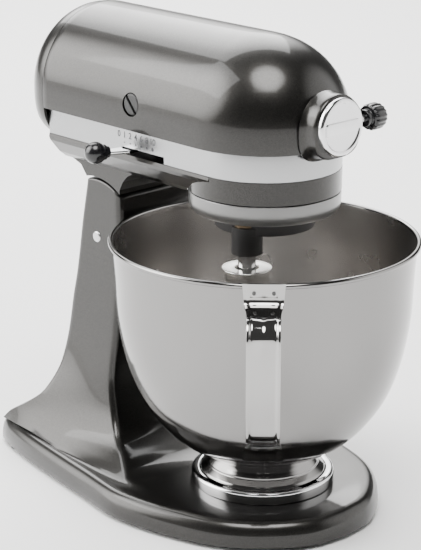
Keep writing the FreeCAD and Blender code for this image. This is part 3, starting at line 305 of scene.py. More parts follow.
def ring_brushed():
    """The bowl's inside: satin steel brushed round the axis, with uneven streaks."""
    metal = shader("steel_brushed_inside", (0.5, 0.485, 0.47), 1.0, 0.26)
    grain(metal, 60.0, (1.0, 1.0, 9.0), 0.3, 0.0004)
    return metal


MATERIALS = {
    "pewter_paint": flake_paint(),
    "satin_trim": brushed("satin_trim", (0.4, 0.405, 0.41), 0.26, (1, 1, 14), 0.05),
    "steel_mirror": shader("steel_mirror", (0.25, 0.246, 0.242), 1.0, 0.11),
    "bowl_inside": ring_brushed(),
    "handle_steel": shader("handle_steel", (0.4, 0.395, 0.39), 1.0, 0.08),
    "chrome": shader("chrome", (0.82, 0.82, 0.83), 1.0, 0.05),
    "drip_grey": shader("drip_grey", (0.2, 0.2, 0.197), 0.8, 0.3, 0.3, 0.2),
    "dark_cast": shader("dark_cast", (0.035, 0.034, 0.034), 0.35, 0.42, 0.3, 0.15),
    "steel": shader("steel", (0.6, 0.6, 0.6), 1.0, 0.16),
    "gear_steel": brushed("gear_steel", (0.4, 0.4, 0.41), 0.35, (1, 1, 8), 0.1),
    "bronze": shader("bronze", (0.16, 0.12, 0.08), 1.0, 0.4),
    "copper": brushed("copper", (0.55, 0.24, 0.1), 0.4, (1, 8, 1), 0.4),
    "whip_alloy": shader("whip_alloy", (0.8, 0.79, 0.77), 1.0, 0.24),
    "black_plastic": shader("black_plastic", (0.005, 0.005, 0.006), 0.0, 0.22, 0.15, 0.05),
    "matte_black": shader("matte_black", (0.02, 0.02, 0.02), 0.0, 0.5),
    "board_green": shader("board_green", (0.02, 0.12, 0.06), 0.0, 0.4),
    "rubber": shader("rubber", (0.02, 0.02, 0.02), 0.0, 0.75),
    "carbon": shader("carbon", (0.03, 0.03, 0.03), 0.0, 0.7),
    "ink": shader("ink", (0.03, 0.03, 0.035), 0.0, 0.5),
    "spot_weld": shader("spot_weld", (0.12, 0.12, 0.12), 1.0, 0.4),
}
for finish in MATERIALS.values():
    uneven(finish)
for part in frame["record"]["subparts"]:
    NODES[part["node"]].data.materials.clear()
    NODES[part["node"]].data.materials.append(MATERIALS[part["material_slot"]])


# ---------------------------------------------------------------- stand
COLUMN_LEVELS = [
    (24, -9, 81, 152, 72, 11.5), (32, 10, 68.5, 144, 70.8, 10.5), (40, 27, 60, 131, 68, 9.5),
    (56, 38, 53.5, 112, 61, 7.5), (80, 44.5, 49.5, 102.5, 51.3, 5.5), (106, 45, 45, 100, 45, 4.2),
    (130, 45, 42, 98, 42.2, 3.2), (153, 45, 40, 94.5, 40.2, 2.4), (184, 45, 38.5, 90.5, 38.7, 1.5),
    (232, 45, 38.5, 80, 38.5, 1.0)]
BASE_HALF = [(0, -154.4), (30, -149.5), (61, -128), (83, -99), (97, -55), (102, -19), (99.5, 4),
             (96, 23), (89, 68), (81, 113), (72, 148), (64, 163), (44, 170.5), (0, 172)]


def eased(levels, height, column):
    """One column dimension at a height, with no overshoot between the given levels."""
    heights = [level[0] for level in levels]
    values = [level[column] for level in levels]
    slopes = [(b - a) / (d - c) for a, b, c, d in zip(values, values[1:], heights, heights[1:])]
    tangents = [slopes[0]]
    for before, after in zip(slopes, slopes[1:]):
        tangents.append(2 * before * after / (before + after) if before * after > 0 else 0.0)
    tangents.append(slopes[-1])
    step = max(i for i in range(len(slopes)) if heights[i] <= height)
    span = heights[step + 1] - heights[step]
    u = (height - heights[step]) / span
    return (values[step] * (1 + 2 * u) * (1 - u) ** 2 + values[step + 1] * u * u * (3 - 2 * u)
            + span * u * (1 - u) * ((1 - u) * tangents[step] - u * tangents[step + 1]))


def spread(a, b, count):
    """Points from a towards b, without b."""
    return [tuple(Vector(a).lerp(Vector(b), k / count)) for k in range(count)]


def column_loop(height, inset=0.0):
    """One level of the column as plan points: half the front, a side, half the back, mirrored."""
    front, half_front, rear, half_rear, bulge = (eased(COLUMN_LEVELS, height, k) for k in range(1, 6))
    front, rear = front + inset, rear - inset
    half_front, half_rear = half_front - inset, half_rear - inset
    round_front, round_rear = 5.0, 1.0
    half = spread((0, front), (half_front - round_front, front), 10)
    for step in range(7):
        turn = math.pi / 2 * step / 6
        half.append((half_front - round_front + round_front * math.sin(turn),
                     front + round_front - round_front * math.cos(turn)))
    half += spread((half_front, front + round_front), (half_rear, rear - round_rear), 17)[1:]
    half.append((half_rear, rear - round_rear))
    half.append((half_rear - round_rear * 0.6, rear - round_rear * 0.1))
    for step in range(1, 11):
        u = step / 10
        half.append(((half_rear - round_rear) * (1 - u), rear + bulge * (1 - (1 - u) ** 2)))
    left = [(-x, y) for x, y in half[1:-1]]
    return half + left[::-1]


def base_loop(inset):
    """The base's plan, with its points matched to those of the column's levels."""
    line = [Vector((point.x, point.y)) for point in catmull([(x, y, 0) for x, y in BASE_HALF], 8)]
    line[0].x = line[-1].x = 0.0
    lengths = [0.0]
    for a, b in zip(line, line[1:]):
        lengths.append(lengths[-1] + (b - a).length)

    def at(distance):
        """The point that far along the half outline, moved inwards."""
        step = max(i for i in range(len(line) - 1) if lengths[i] <= distance + 1e-6)
        part = (distance - lengths[step]) / (lengths[step + 1] - lengths[step])
        here = line[step].lerp(line[step + 1], min(max(part, 0), 1))
        ahead = line[min(step + 2, len(line) - 1)] - line[max(step - 1, 0)]
        inward = Vector((-ahead.y, ahead.x)).normalized()
        moved = here + inward * inset
        return (max(moved.x, 0.0) if 0 < distance < lengths[-1] else 0.0, moved.y)

    side = lengths[5 * 8]
    tail = lengths[11 * 8 - 4]
    half = [at(side * k / 17) for k in range(17)]
    half += [at(side + (tail - side) * k / 17) for k in range(17)]
    half += [at(tail + (lengths[-1] - tail) * k / 10) for k in range(11)]
    left = [(-x, y) for x, y in half[1:-1]]
    return half + left[::-1]


def crown(y):
    """Height of the column's rounded top above a plan point."""
    return PIN_Z + math.sqrt(max(CROWN_R ** 2 - (y - PIN_Y) ** 2, 0.0))


def stand_rows():
    """Loops from the column's crown down its sides, over the deck and round under the rim."""
    rows = []
    for inset, drop in ((1.7, 0.0), (1.4, 0.05), (0.5, 0.5), (0.1, 1.2), (0.0, 2.0)):
        rows.append([(x, y, crown(y) - drop) for x, y in column_loop(NECK_TOP, inset)])
    for step in range(12):
        part = 1 - step / 12
        plan = column_loop(NECK_FOOT + (NECK_TOP - NECK_FOOT) * part)
        rows.append([(x, y, NECK_FOOT + (crown(y) - 2.4 - NECK_FOOT) * part) for x, y in plan])
    for step in range(41):
        height = NECK_FOOT - (NECK_FOOT - COLUMN_FOOT) * step / 40
        rows.append([(x, y, height) for x, y in column_loop(height)])
    last = column_loop(COLUMN_FOOT)
    rim = base_loop(9.5)
    deck_steps = 8
    for step in range(1, deck_steps + 1):
        u = step / deck_steps
        blend = u ** 1.15
        height = DECK_EDGE_Z + 2.4 * (1 - u) ** 2.6 + 0.35 * (1 - u)
        rows.append([(x0 + (x1 - x0) * blend, y0 + (y1 - y0) * blend, height)
                     for (x0, y0), (x1, y1) in zip(last, rim)])
    for inset, height in ((7.4, 21.35), (5.4, 20.6), (3.6, 19.2), (2.2, 17.3), (1.1, 14.8), (0.4, 11.8),
                          (0.0, 8.6), (0.0, 5.0), (0.3, 3.6), (1.2, 3.0), (5.0, 3.0), (5.6, 3.6),
                          (6.0, 15.0), (8.0, 17.0)):
        rows.append([(x, y, height) for x, y in base_loop(inset)])
    return rows


def make_stand():
    """The one-piece casting of base and column, with the gap for the head's lug."""
    gap_half, gap_reach = 18.0, 70
    rows = stand_rows()
    verts, faces = loft(rows, caps=False)
    mirrored_cap(faces, 0, len(rows[0]))
    mirrored_cap(faces, len(verts) - len(rows[0]), len(rows[0]))
    stand = make("stand_casting_skin", verts, faces, MATERIALS["pewter_paint"], "base",
                 ("stand_casting",), "pewter_paint", sharp=40)
    front, rear = math.radians(113), math.radians(31)
    corners = [(PIN_Y, PIN_Z)]
    corners += [(PIN_Y + gap_reach * math.cos(turn), PIN_Z + gap_reach * math.sin(turn))
                for turn in (front, (front + rear) / 2, rear)]
    carve(stand, *loft([[(x, y, z) for y, z in corners] for x in (-gap_half, gap_half)]))
    barrel = [(0, -gap_half), (16.2, -gap_half), (16.2, gap_half), (0, gap_half)]
    carve(stand, *lathe(barrel, (0, PIN_Y, PIN_Z), (1, 0, 0), 64))
    dome = soften([(0, 39.6), (3.6, 39.5), (4.5, 38.6), (4.5, -38.6), (3.6, -39.5), (0, -39.6)],
                  [0, 0.8, 0.8, 0.8, 0.8, 0])
    verts, faces = lathe(dome, (0, PIN_Y, PIN_Z), (1, 0, 0), 48)
    make("hinge_pin_turned", verts, faces, MATERIALS["steel"], "base", ("hinge_pin",), "steel")


# ---------------------------------------------------------------- head
def egg(radius, depth):
    """The head's section as (x, height over the axis), from the bottom round by +X."""
    count, flatness = 96, 0.625
    points = []
    for step in range(count):
        turn = 2 * math.pi * step / count - math.pi / 2
        across, rise = math.cos(turn), math.sin(turn)
        if rise >= 0:
            points.append((radius * across, radius * rise))
        else:
            wide = math.copysign(radius * abs(across) ** flatness, across)
            points.append((wide, -depth * abs(rise) ** flatness))
    return points


def end_scale(u):
    """Width of a rounded end at that part of its length."""
    return max(1 - u ** ROUNDNESS, 0.0) ** (1 / ROUNDNESS)


def nose_rows():
    """Loops of the nose from the hub's front edge back to the straight barrel."""
    rows = []
    for y, radius in ((HUB_FRONT, HUB_R - 1.6), (HUB_FRONT + 0.4, HUB_R - 0.7),
                      (HUB_FRONT + 1.3, HUB_R), (-134.0, HUB_R), (-130.0, HUB_R)):
        rows.append((y, radius, radius, HUB_Z))
    rows.append((-127.2, HUB_R + 0.9, HUB_R + 0.6, HUB_Z - 0.6))
    rows.append((-125.0, HUB_R + 2.6, HUB_R + 1.6, HUB_Z - 1.8))
    for y in (-122.6, -119.5, -116, -112, -107, -101, -94, -86, -77, -68, NOSE_Y):
        u = (NOSE_Y - y) / NOSE_LENGTH
        scale = end_scale(u)
        rows.append((y, HEAD_R * scale, HEAD_DEEP * scale, HEAD_Z))
    for y in (-40, -10, 20, 50, 80, 100, SEAM_Y - 0.9):
        rows.append((y, HEAD_R, HEAD_DEEP, HEAD_Z))
    rows.append((SEAM_Y - 0.25, HEAD_R - 0.25, HEAD_DEEP - 0.25, HEAD_Z))
    rows.append((SEAM_Y, HEAD_R - 0.9, HEAD_DEEP - 0.9, HEAD_Z))
    return rows


def make_upper_housing():
    """The painted upper shell: nose and hub in one skin, cut level at the trim band."""
    loops = []
    for y, radius, depth, axis_z in nose_rows():
        loops.append([(x, y, axis_z + z) for x, z in egg(radius, depth)])
    inside = []
    for y, radius, depth, axis_z in nose_rows()[::-1]:
        if y < -104:
            continue
        inside.append([(x, y, axis_z + z) for x, z in egg(radius - 3.5, depth - 3.5)])
    inside.append([(x, -106.0, HEAD_Z + z) for x, z in egg(30, 22)])
    verts, faces = loft(loops + inside)
    shell = make("upper_housing_skin", verts, faces, MATERIALS["pewter_paint"], "head",
                 ("upper_housing",), "pewter_paint", sharp=45)
    level = [(-80, -122.9), (80, -122.9), (80, 130), (-80, 130)]
    carve(shell, *loft([[(x, y, z) for x, y in level] for z in (200.0, BAND_HIGH + 0.1)]))
    carve(shell, *lathe([(0, -2), (16, -2), (16, 16.5), (11, 16.5), (11, 60), (0, 60)],
                        (0, HUB_FRONT, HUB_Z), (0, 1, 0), 96))
    brush_bore = [(0, -70), (8.5, -70), (8.5, 70), (0, 70)]
    carve(shell, *lathe(brush_bore, (0, BRUSH_Y, HUB_Z), (1, 0, 0), 64))
    seat_rows = []
    for half, z in ((51.9, 270.0), (51.9, 281.5), (48.4, 281.5), (48.4, 270.0)):
        seat_rows.append([(x, y, z) for x, y in u_line(half, SEAM_Y - 0.5)])
    verts, faces = open_strip(seat_rows)
    make("upper_housing_seat", verts, faces, MATERIALS["pewter_paint"], "head", (), "pewter_paint")


def u_line(half, rear):
    """Plan line down one side, round the front and back up the other side."""
    straight, round_steps = 6, 48
    points = [(-half, rear + (BOWL_Y - rear) * k / straight) for k in range(straight)]
    for step in range(round_steps + 1):
        turn = math.pi + math.pi * step / round_steps
        points.append((half * math.cos(turn), BOWL_Y + half * math.sin(turn)))
    points += [(half, BOWL_Y + (rear - BOWL_Y) * k / straight) for k in range(1, straight + 1)]
    return points


def open_strip(lines):
    """A bar whose outline runs through equal open lines, closed at both of its ends."""
    rows = [list(row) for row in zip(*lines)]
    return loft(rows)


def make_band():
    """The satin trim band with eased edges and the slot for the speed lever."""
    outline = soften([(BAND_R, BAND_LOW), (BAND_R, BAND_HIGH), (BAND_R - BAND_THICK, BAND_HIGH),
                      (BAND_R - BAND_THICK, BAND_LOW)], [0.5, 0.5, 0.1, 0.1], steps=3)
    lines = [[(x, y, z) for x, y in u_line(half, SEAM_Y - 0.3)] for half, z in outline]
    verts, faces = open_strip(lines)
    band = make("trim_band_skin", verts, faces, MATERIALS["satin_trim"], "head",
                ("trim_band",), "satin_trim", sharp=50)
    slot = [(SLOT_Y[0], BAND_LOW - 1), (SLOT_Y[0], BAND_LOW + 5.2), (SLOT_Y[1] - 4, BAND_LOW + 5.2),
            (SLOT_Y[1], BAND_LOW + 3.4), (SLOT_Y[1], BAND_LOW - 1)]
    carve(band, *loft([[(x, y, z) for y, z in slot] for x in (-60.0, -40.0)]))


def make_rear_cover():
    """The domed back of the head as a shell, a little smaller than the housing's edge."""
    wall, front = 2.5, SEAM_Y + 0.25
    out_r, out_deep = HEAD_R - 0.7, HEAD_DEEP - 0.7
    outer, inner = [], []
    for u in (0, 0.12, 0.25, 0.38, 0.5, 0.6, 0.7, 0.78, 0.85, 0.905, 0.945, 0.975, 0.992, 0.999):
        scale = end_scale(u)
        outer.append([(x, front + TAIL_LENGTH * u, HEAD_Z + z)
                      for x, z in egg(out_r * scale, out_deep * scale)])
        inner.append([(x, front + (TAIL_LENGTH - wall) * u, HEAD_Z + z)
                      for x, z in egg((HEAD_R - wall) * scale, (HEAD_DEEP - wall) * scale)])
    lip = [[(x, front, HEAD_Z + z) for x, z in egg(HEAD_R - 1.3, HEAD_DEEP - 1.3)]]
    outer[0] = [(x, SEAM_Y + 0.7, HEAD_Z + z) for x, z in egg(out_r, out_deep)]
    verts, faces = loft(inner[::-1] + lip + outer)
    cover = make("rear_cover_skin", verts, faces, MATERIALS["pewter_paint"], "head",
                 ("rear_cover",), "pewter_paint", sharp=45)
    screw, inlet = (0, COVER_SCREW_Y, HEAD_Z), (0, INLET_Y, 249.0)
    for radius, low_end, high_end, place, axis, segments in (
            (5.0, 0, 14, screw, (0, 1, 0), 48), (2.1, -30, 14, screw, (0, 1, 0), 32),
            (5.7, -14, 26, inlet, (0, 0, 1), 48)):
        hole = [(0, low_end), (radius, low_end), (radius, high_end), (0, high_end)]
        carve(cover, *lathe(hole, place, axis, segments))


def make_drip_ring():
    """The grey ring round the planetary."""
    outline = soften([(47.4, 241.5), (47.4, 228.4), (49.8, 228.0), (52.6, 230.0), (54.0, 234.0),
                      (54.0, 243.0), (51.0, 243.0), (51.0, 241.5)],
                     [0.2, 0.5, 2.0, 3.0, 3.0, 0.6, 0.3, 0.2])
    verts, faces = lathe(outline, (0, BOWL_Y, 0))
    make("drip_ring_skin", verts, faces, MATERIALS["drip_grey"], "planetary",
         ("drip_ring",), "drip_grey")


def make_hub_cap():
    """Chrome cap: bevelled rim, shallow dish and a raised level bar."""
    face_y = HUB_FRONT - 3.8
    outline = soften([(0, 0.9), (16.2, 0.9), (17.2, 0.0), (19.0, 0.0), (20.4, 1.4), (20.4, 3.8),
                      (15.8, 3.8), (15.8, 9.8), (13.8, 9.8), (13.8, 3.8), (0, 3.8)],
                     [0, 0.4, 0.4, 0.7, 0.6, 0.3, 0.2, 0.3, 0.3, 0.2, 0])
    verts, faces = lathe(outline, (0, face_y, HUB_Z), (0, 1, 0), 128)
    make("hub_cap_skin", verts, faces, MATERIALS["chrome"], "hub_cover", ("hub_cap",), "chrome")
    bar = []
    for inset, forward in ((0.0, 1.1), (0.0, 0.3), (0.25, -0.05), (0.8, -0.15)):
        half, reach = 4.3 - inset, 15.4 - inset
        plan = soften([(-reach, -half), (reach, -half), (reach, half), (-reach, half)], 1.2, steps=3)
        bar.append([(x, face_y + forward, HUB_Z + z) for x, z in plan])
    verts, faces = loft(bar)
    make("hub_cap_bar", verts, faces, MATERIALS["chrome"], "hub_cover", (), "chrome")


def make_attachment_knob():
    """Black clamping knob: stepped collar and a ribbed grip."""
    start_x, axis_y, ribs, steps = 29.6, -133.0, 16, 96
    rows = []
    outline = soften([(0, 0), (6.0, 0), (6.0, 3.6), (8.2, 4.2), (9.5, 6.5), (9.5, 13.5), (7.6, 17.2),
                      (0, 18.0)], [0, 0.8, 0.6, 1.0, 1.6, 3.0, 3.0, 0])
    for step in range(steps):
        angle = 2 * math.pi * step / steps
        rib = 0.35 * (1 + math.cos(angle * ribs))
        row = []
        for radius, x in outline:
            pull = rib if 4.5 < x < 17 and radius > 7 else 0.0
            row.append((start_x + x, axis_y + (radius - pull) * math.cos(angle),
                        HUB_Z + (radius - pull) * math.sin(angle)))
        rows.append(row)
    verts, faces = loft(rows, closed_rows=True)
    make("attachment_knob_skin", verts, faces, MATERIALS["black_plastic"], "attachment_clamp",
         ("attachment_knob",), "black_plastic", sharp=60)


def make_brush_caps():
    """Black slotted caps sunk a little into round holes with a pale edge."""
    along, across = Vector((0, 0.64, 0.77)), Vector((0, 0.77, -0.64))
    face = soften([(0, 0), (7.0, 0), (7.9, -0.7), (7.9, -9.0), (0, -9.0)], [0, 0.5, 0.5, 0.2, 0],
                  steps=3)
    for side in (-1, 1):
        middle = Vector((side * 59.3, BRUSH_Y, HUB_Z))
        verts, faces = lathe(face, middle, (side, 0, 0), 64)
        names = ("brush_caps",) if side < 0 else ()
        cap = make(f"brush_cap_{side + 1}", verts, faces, MATERIALS["matte_black"], "head",
                   names, "matte_black")
        rows = []
        for x in (-side * 2.0, side * 3.0):
            rows.append([tuple(middle + Vector((x, 0, 0)) + along * a + across * b)
                         for a, b in ((-9, -1.3), (9, -1.3), (9, 1.3), (-9, 1.3))])
        carve(cap, *loft(rows))


def make_speed_lever():
    """Chrome blade through the band's slot and the black ball on its end."""
    plan = soften([(-44.5, 12), (-44.5, 24), (-55, 24), (-71, 26.5), (-72, 20.0), (-56.5, 12)],
                  1.0, steps=3)
    centre = Vector((-58, 19))
    rows = []
    for inset, z in ((0.4, 262.0), (0.0, 262.4), (0.0, 264.0), (0.4, 264.4)):
        moved = [Vector(point) + (centre - Vector(point)).normalized() * inset for point in plan]
        rows.append([(*point, z) for point in moved])
    verts, faces = loft(rows)
    make("speed_lever_skin", verts, faces, MATERIALS["chrome"], "speed_control",
         ("speed_lever",), "chrome")
    ball_r = 8.0
    ball = [(0, -ball_r)]
    for step in range(1, 20):
        turn = -math.pi / 2 + math.pi * step / 24
        ball.append((ball_r * math.cos(turn), ball_r * math.sin(turn)))
    ball += soften([(5.6, 5.7), (5.6, 7.6), (4.2, 7.6), (4.2, 10.4), (0, 10.4)],
                   [0.2, 0.5, 0.3, 0.5, 0], closed=False, steps=3)
    verts, faces = lathe(ball, (-78.5, 23.5, 264.4), (1, -0.22, -0.05), 64)
    make("speed_lever_ball", verts, faces, MATERIALS["black_plastic"], "speed_control",
         ("speed_lever_knob",), "black_plastic")


def make_scale():
    """Plain numbers above growing dots on the band."""
    marks = [("0", 26.0, 0.0), ("1", 20.0, 0.5), ("2", 14.0, 0.65), ("4", 8.0, 0.8), ("6", 2.0, 0.95),
             ("8", -4.0, 1.1), ("10", -10.0, 1.3)]
    number_z, dot_z, dot_back, dot_front = 272.0, 268.6, -0.03, 0.05
    for label, y, dot in marks:
        curve = bpy.data.curves.new("digit", "FONT")
        curve.body = label
        curve.size = 6.4 * MM
        curve.extrude = 0.06 * MM
        curve.offset = 0.09 * MM
        curve.align_x = "CENTER"
        curve.resolution_u = 6
        text = bpy.data.objects.new("digit", curve)
        bpy.context.scene.collection.objects.link(text)
        bpy.context.view_layer.update()
        graph = bpy.context.evaluated_depsgraph_get()
        mesh = bpy.data.meshes.new_from_object(text.evaluated_get(graph))
        bpy.data.objects.remove(text)
        place = Matrix(((0, 0, -1, -BAND_R * MM), (-1, 0, 0, y * MM), (0, 1, 0, number_z * MM),
                        (0, 0, 0, 1)))
        mesh.transform(place)
        dress("scale_number_" + label, mesh, MATERIALS["ink"], "head", ())
        if dot:
            disc = [(0, dot_back), (dot, dot_back), (dot, dot_front), (0, dot_front)]
            verts, faces = lathe(disc, (-BAND_R, y, dot_z), (-1, 0, 0), 24)
            make("scale_dot_" + label, verts, faces, MATERIALS["ink"], "head", (), "matte_black")


# ---------------------------------------------------------------- bowl and whip
BOWL_LINE = [(36, 44.5), (50, 50.5), (64.9, 60), (79.1, 75), (91.6, 95), (100.1, 120),
             (105.4, 150), (107, 180), (108.6, 203.0)]


def make_bowl():
    """Spun shell with a rolled bead: polished outside, brushed inside."""
    line = [Vector((p.x, p.y)) for p in catmull([(r, z, 0) for r, z in BOWL_LINE], 10)]
    inner = []
    for index, here in enumerate(line):
        ahead = line[min(index + 1, len(line) - 1)] - line[max(index - 1, 0)]
        inner.append(here + Vector((-ahead.y, ahead.x)).normalized() * BOWL_THICK)
    bead = []
    for step in range(17):
        turn = math.radians(-110 + 290 * step / 16)
        bead.append(Vector((BEAD_R + BEAD_THICK * math.cos(turn),
                            BEAD_Z + BEAD_THICK * math.sin(turn))))
    under = line[0].y
    outline = [Vector((0.0, under)), Vector((20.0, under))] + line[:-1] + bead
    outline += inner[::-1][1:]
    outline += [Vector((20.0, under + BOWL_THICK)), Vector((0.0, under + BOWL_THICK))]
    verts, faces = lathe([(p.x, p.y) for p in outline], (0, BOWL_Y, 0), segments=192)
    shell = make("bowl_shell_skin", verts, faces, [MATERIALS["steel_mirror"], MATERIALS["bowl_inside"]],
                 "bowl", ("bowl_shell",), "steel_mirror", sharp=50)
    for polygon in shell.data.polygons:
        centre = polygon.center / MM
        outward = polygon.normal.dot(Vector((centre.x, centre.y - BOWL_Y, -60.0)))
        below_bead = centre.z < 203.5
        if outward < 0 and below_bead:
            polygon.material_index = 1


def tab(degrees, near, far, half, low_z, high_z):
    """A block between two radii about the bowl's axis, at that angle."""
    turn = math.radians(degrees)
    out, side = Vector((math.cos(turn), math.sin(turn))), Vector((-math.sin(turn), math.cos(turn)))
    plan = [out * near - side * half, out * far - side * half,
            out * far + side * half, out * near + side * half]
    return loft([[(p.x, p.y + BOWL_Y, z) for p in plan] for z in (low_z, high_z)])


def make_foot_ring():
    """The bowl's flared foot with its rolled steps, and the clamp plate's round lip."""
    outline = soften([(35.6, 44.3), (37.0, 40.0), (39.6, 36.6), (39.6, 35.2), (44.6, 31.2),
                      (44.6, 24.6), (46.0, 24.6), (46.0, 31.8), (41.0, 36.0), (41.0, 37.4),
                      (38.4, 41.0), (37.2, 44.6)],
                     [0.3, 1.5, 0.8, 0.8, 1.2, 0.2, 0.4, 1.6, 0.8, 0.8, 1.6, 0.3], steps=4)
    verts, faces = lathe(outline, (0, BOWL_Y, 0))
    make("bowl_foot_ring_skin", verts, faces, MATERIALS["steel_mirror"], "bowl", ("bowl_foot_ring",),
         "steel_mirror")
    for quarter in range(4):
        make(f"bowl_foot_lug_{quarter}", *tab(45 + 90 * quarter, 45.8, 48.6, 8, 24.7, 27.0),
             MATERIALS["steel_mirror"], "bowl", (), "steel_mirror")
    lip = soften([(0, 22.0), (52.4, 22.0), (52.4, 29.6), (50.6, 31.0), (46.7, 31.0), (46.7, 28.2),
                  (50.0, 28.2), (50.0, 24.0), (0, 24.0)],
                 [0, 0.5, 1.2, 1.2, 0.5, 0.5, 0.2, 0.4, 0], steps=4)
    verts, faces = lathe(lip, (0, BOWL_Y, 0))
    plate = make("bowl_clamp_plate_skin", verts, faces, MATERIALS["chrome"], "base",
                 ("bowl_clamp_plate",), "chrome")
    for quarter in range(4):
        carve(plate, *tab(90 * quarter, 40, 50, 9, 24.6, 33.0))
    screw_circle, screw_hole = 32, [(0, -2), (2.2, -2), (2.2, 4), (0, 4)]
    for degrees in (45, 135, 225, 315):
        turn = math.radians(degrees)
        x, y = screw_circle * math.cos(turn), BOWL_Y + screw_circle * math.sin(turn)
        carve(plate, *lathe(screw_hole, (x, y, 22.0), (0, 0, 1), 24))


def handle_section(part):
    """The strap's outline at a part of its length: flat at both ends, a channel between them."""
    top_end, low_end = 0.13, 0.86
    widen = max(0.0, 1 - part / top_end) ** 0.6 + max(0.0, (part - low_end) / (1 - low_end)) ** 0.8
    half = 11.4 + 2.9 * min(widen, 1.0)
    deep = min(1.0, max(0.0, (part - top_end) / 0.1)) * min(1.0, max(0.0, (0.88 - part) / 0.12))
    edge, back = 1.2 + 3.4 * deep, -2.2 * deep
    dish = 1.1 - 3.6 * math.exp(-((part - 0.25) / 0.055) ** 2)
    outline = [(-half, back), (-half - 0.2, edge - 1.0), (-half + 1.3, edge), (-half + 3.2, edge - 0.7),
               (-half + 6.0, 1.4), (0, dish), (half - 6.0, 1.4), (half - 3.2, edge - 0.7),
               (half - 1.3, edge), (half + 0.2, edge - 1.0), (half, back), (half - 1.6, back),
               (half - 3.4, -0.6), (0, dish - 1.9), (-half + 3.4, -0.6), (-half + 1.6, back)]
    reach = [0.5, 1.2, 1.2, 1.2, 2.4, 3.0, 2.4, 1.2, 1.2, 1.2, 0.5, 0.5, 1.0, 2.0, 1.0, 0.5]
    return [tuple(point) for point in soften(outline, reach, steps=4)]


def make_handle():
    """Polished strap of a shallow channel section, from under the bead round to the lower wall."""
    path = bent_line([(111.6, 0, 207.5), (110.6, 0, 193.0), (141.0, 0, 187.5), (135.5, 0, 112.0),
                      (90.5, 0, 82.0), (77.0, 0, 67.0)], [0, 5, 17, 34, 13, 0], steps=10)
    longest_step = 4
    dense = []
    for a, b in zip(path, path[1:]):
        parts = max(1, int((b - a).length / longest_step))
        dense += [a.lerp(b, k / parts) for k in range(parts)]
    dense.append(path[-1])
    total = sum((b - a).length for a, b in zip(dense, dense[1:]))
    sections, gone = [], 0.0
    for index, here in enumerate(dense):
        if index:
            gone += (here - dense[index - 1]).length
        sections.append(handle_section(gone / total))
    verts, faces = sweep(dense, sections)
    turn = Matrix.Rotation(HANDLE_TURN, 4, "Z")
    verts = [tuple(turn @ Vector(v) + Vector((0, BOWL_Y, 0))) for v in verts]
    make("bowl_handle_skin", verts, faces, MATERIALS["handle_steel"], "bowl", ("bowl_handle",),
         "steel_mirror", sharp=55)
    for number, side in enumerate((-6.6, 6.6)):
        centre = turn @ Vector((112.4, side, 201.0)) + Vector((0, BOWL_Y, 0))
        out = turn @ Vector((1, 0, -0.05))
        button = soften([(0, -0.6), (1.3, -0.6), (1.3, 0.35), (0, 0.45)], [0, 0.1, 0.3, 0])
        verts, faces = lathe(button, centre, out, 24)
        make(f"handle_weld_{number}", verts, faces, MATERIALS["spot_weld"], "bowl", (),
             "steel_mirror")


def make_whip():
    """Wire whip: a capped alloy hub and nested round wires."""
    hub = soften([(6.5, 172.0), (9.0, 172.0), (9.0, 168.0), (13.6, 168.0), (15.6, 184.0), (15.6, 189.0),
                  (17.8, 190.4), (17.8, 192.0), (8.5, 192.0), (8.5, 188.0), (6.5, 188.0)],
                 [0.2, 0.3, 0.5, 1.0, 1.0, 0.6, 0.4, 0.4, 0.4, 0.5, 0.2], steps=3)
    verts, faces = lathe(hub, (*PLANET, 0), segments=96)
    make("whip_hub_skin", verts, faces, MATERIALS["whip_alloy"], "agitator", ("whip_hub",),
         "whip_alloy")
    wire_r, sides = 1.15, 12
    turns = [2 * math.pi * k / sides for k in range(sides)]
    circle = [(wire_r * math.cos(turn), wire_r * math.sin(turn)) for turn in turns]
    for number in range(5):
        drop = 50.0 + 2.6 * number
        side = [(11, 174), (12.5, 168), (20, 158), (38, 135), (48, 112), (50, 95), (42, 74),
                (24, drop + 7), (0, drop)]
        points = [(-x, 0, z) for x, z in side] + [(x, 0, z) for x, z in reversed(side[:-1])]
        turn = Matrix.Rotation(math.radians(18 + 36 * number), 4, "Z")
        verts, faces = sweep(catmull(points, 8), circle)
        verts = [tuple(turn @ Vector(v) + Vector((*PLANET, 0))) for v in verts]
        names = ("whip_wires",) if number == 0 else ()
        make(f"whip_wire_{number}", verts, faces, MATERIALS["steel"], "agitator", names, "steel")


# ---------------------------------------------------------------- stage
def area_light(name, place, target, width, height, power):
    """A soft box aimed at a point."""
    data = bpy.data.lights.new(name, "AREA")
    data.shape = "RECTANGLE"
    data.size, data.size_y = width, height
    data.energy = power
    light = bpy.data.objects.new(name, data)
    light.location = place
    light.rotation_euler = (Vector(target) - Vector(place)).to_track_quat("-Z", "Y").to_euler()
    bpy.context.scene.collection.objects.link(light)


ROOM_LEVEL = 0.1
# direction, the cosines between which the box fades in, and its strength
SOFT_BOXES = [
    ((-0.62, 0.66, 0.36), (0.84, 0.98), 9.0),
    ((0.50, 0.66, 0.56), (0.86, 0.98), 4.0),
    ((-0.24, -0.26, 0.94), (0.92, 0.98), 12.0),
    ((0.80, -0.55, 0.30), (0.78, 0.97), 2.0),
]


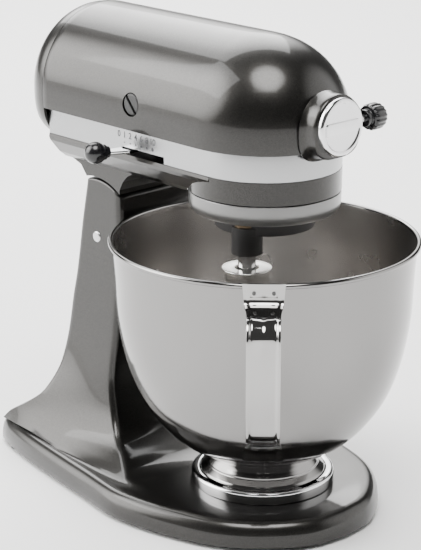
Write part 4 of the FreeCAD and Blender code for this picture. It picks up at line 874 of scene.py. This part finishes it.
def make_surround():
    """A dim room with soft boxes: behind on both sides, in front overhead and to the right."""
    world = bpy.data.worlds.new("surround")
    world.use_nodes = True
    bpy.context.scene.world = world
    place = node(world, "TexCoord")
    total = None
    for direction, sharpness, power in SOFT_BOXES:
        facing = node(world, "VectorMath")
        facing.operation = "DOT_PRODUCT"
        facing.inputs[1].default_value = Vector(direction).normalized()
        link(world, place.outputs["Generated"], facing.inputs[0])
        shape = node(world, "MapRange")
        shape.interpolation_type = "SMOOTHSTEP"
        shape.inputs["From Min"].default_value, shape.inputs["From Max"].default_value = sharpness
        shape.inputs["To Max"].default_value = power
        link(world, facing.outputs["Value"], shape.inputs["Value"])
        if total is None:
            total = shape.outputs["Result"]
            continue
        both = node(world, "Math")
        link(world, total, both.inputs[0])
        link(world, shape.outputs["Result"], both.inputs[1])
        total = both.outputs["Value"]
    room = node(world, "Math")
    room.inputs[1].default_value = ROOM_LEVEL
    link(world, total, room.inputs[0])
    background = world.node_tree.nodes["Background"]
    link(world, room.outputs["Value"], background.inputs["Strength"])
    background.inputs["Color"].default_value = (1, 0.99, 0.975, 1)


def make_stage():
    """Pale seamless floor, and lights that keep its far side the brightest."""
    mesh = bpy.data.meshes.new("floor")
    reach = 8
    corners = [(-reach, -reach, 0), (reach, -reach, 0), (reach, reach, 0), (-reach, reach, 0)]
    mesh.from_pydata(corners, [], [(0, 1, 2, 3)])
    floor = bpy.data.objects.new("floor", mesh)
    bpy.context.scene.collection.objects.link(floor)
    mesh.materials.append(shader("pale_floor", (0.88, 0.88, 0.88), 0.0, 0.8))
    make_surround()
    area_light("back_wash", (0.9, 1.5, 1.7), (0.5, 0.9, 0), 2.0, 2.0, 70)
    area_light("back_wash_left", (-1.1, 1.0, 1.5), (-0.5, 0.6, 0), 1.2, 1.2, 22)
    area_light("key", (-0.5, -0.5, 1.6), (0, 0, 0.2), 0.8, 0.8, 4)


def make_camera():
    """The photograph's view: a long lens a metre and a half away, aimed at the mixer's middle."""
    azimuth, elevation, distance = math.radians(-44.59), math.radians(17.87), 1.440
    back = Vector((math.sin(azimuth) * math.cos(elevation), -math.cos(azimuth) * math.cos(elevation),
                   math.sin(elevation)))
    bowl_axis = Vector((0, BOWL_Y * MM, 0.1775))
    right = Vector((math.cos(azimuth), math.sin(azimuth), 0))
    place = bowl_axis + back * distance
    target = bowl_axis - right * 0.0384
    data = bpy.data.cameras.new("photo_view")
    data.lens, data.sensor_width, data.sensor_fit = 131.8, 36.0, "AUTO"
    camera = bpy.data.objects.new("photo_view", data)
    camera.location = place
    camera.rotation_euler = (target - place).to_track_quat("-Z", "Y").to_euler()
    bpy.context.scene.collection.objects.link(camera)
    bpy.context.scene.camera = camera


make_stand()
make_upper_housing()
make_band()
make_rear_cover()
make_drip_ring()
make_hub_cap()
make_attachment_knob()
make_brush_caps()
make_speed_lever()
make_scale()
make_bowl()
make_foot_ring()
make_handle()
make_whip()
make_stage()
make_camera()
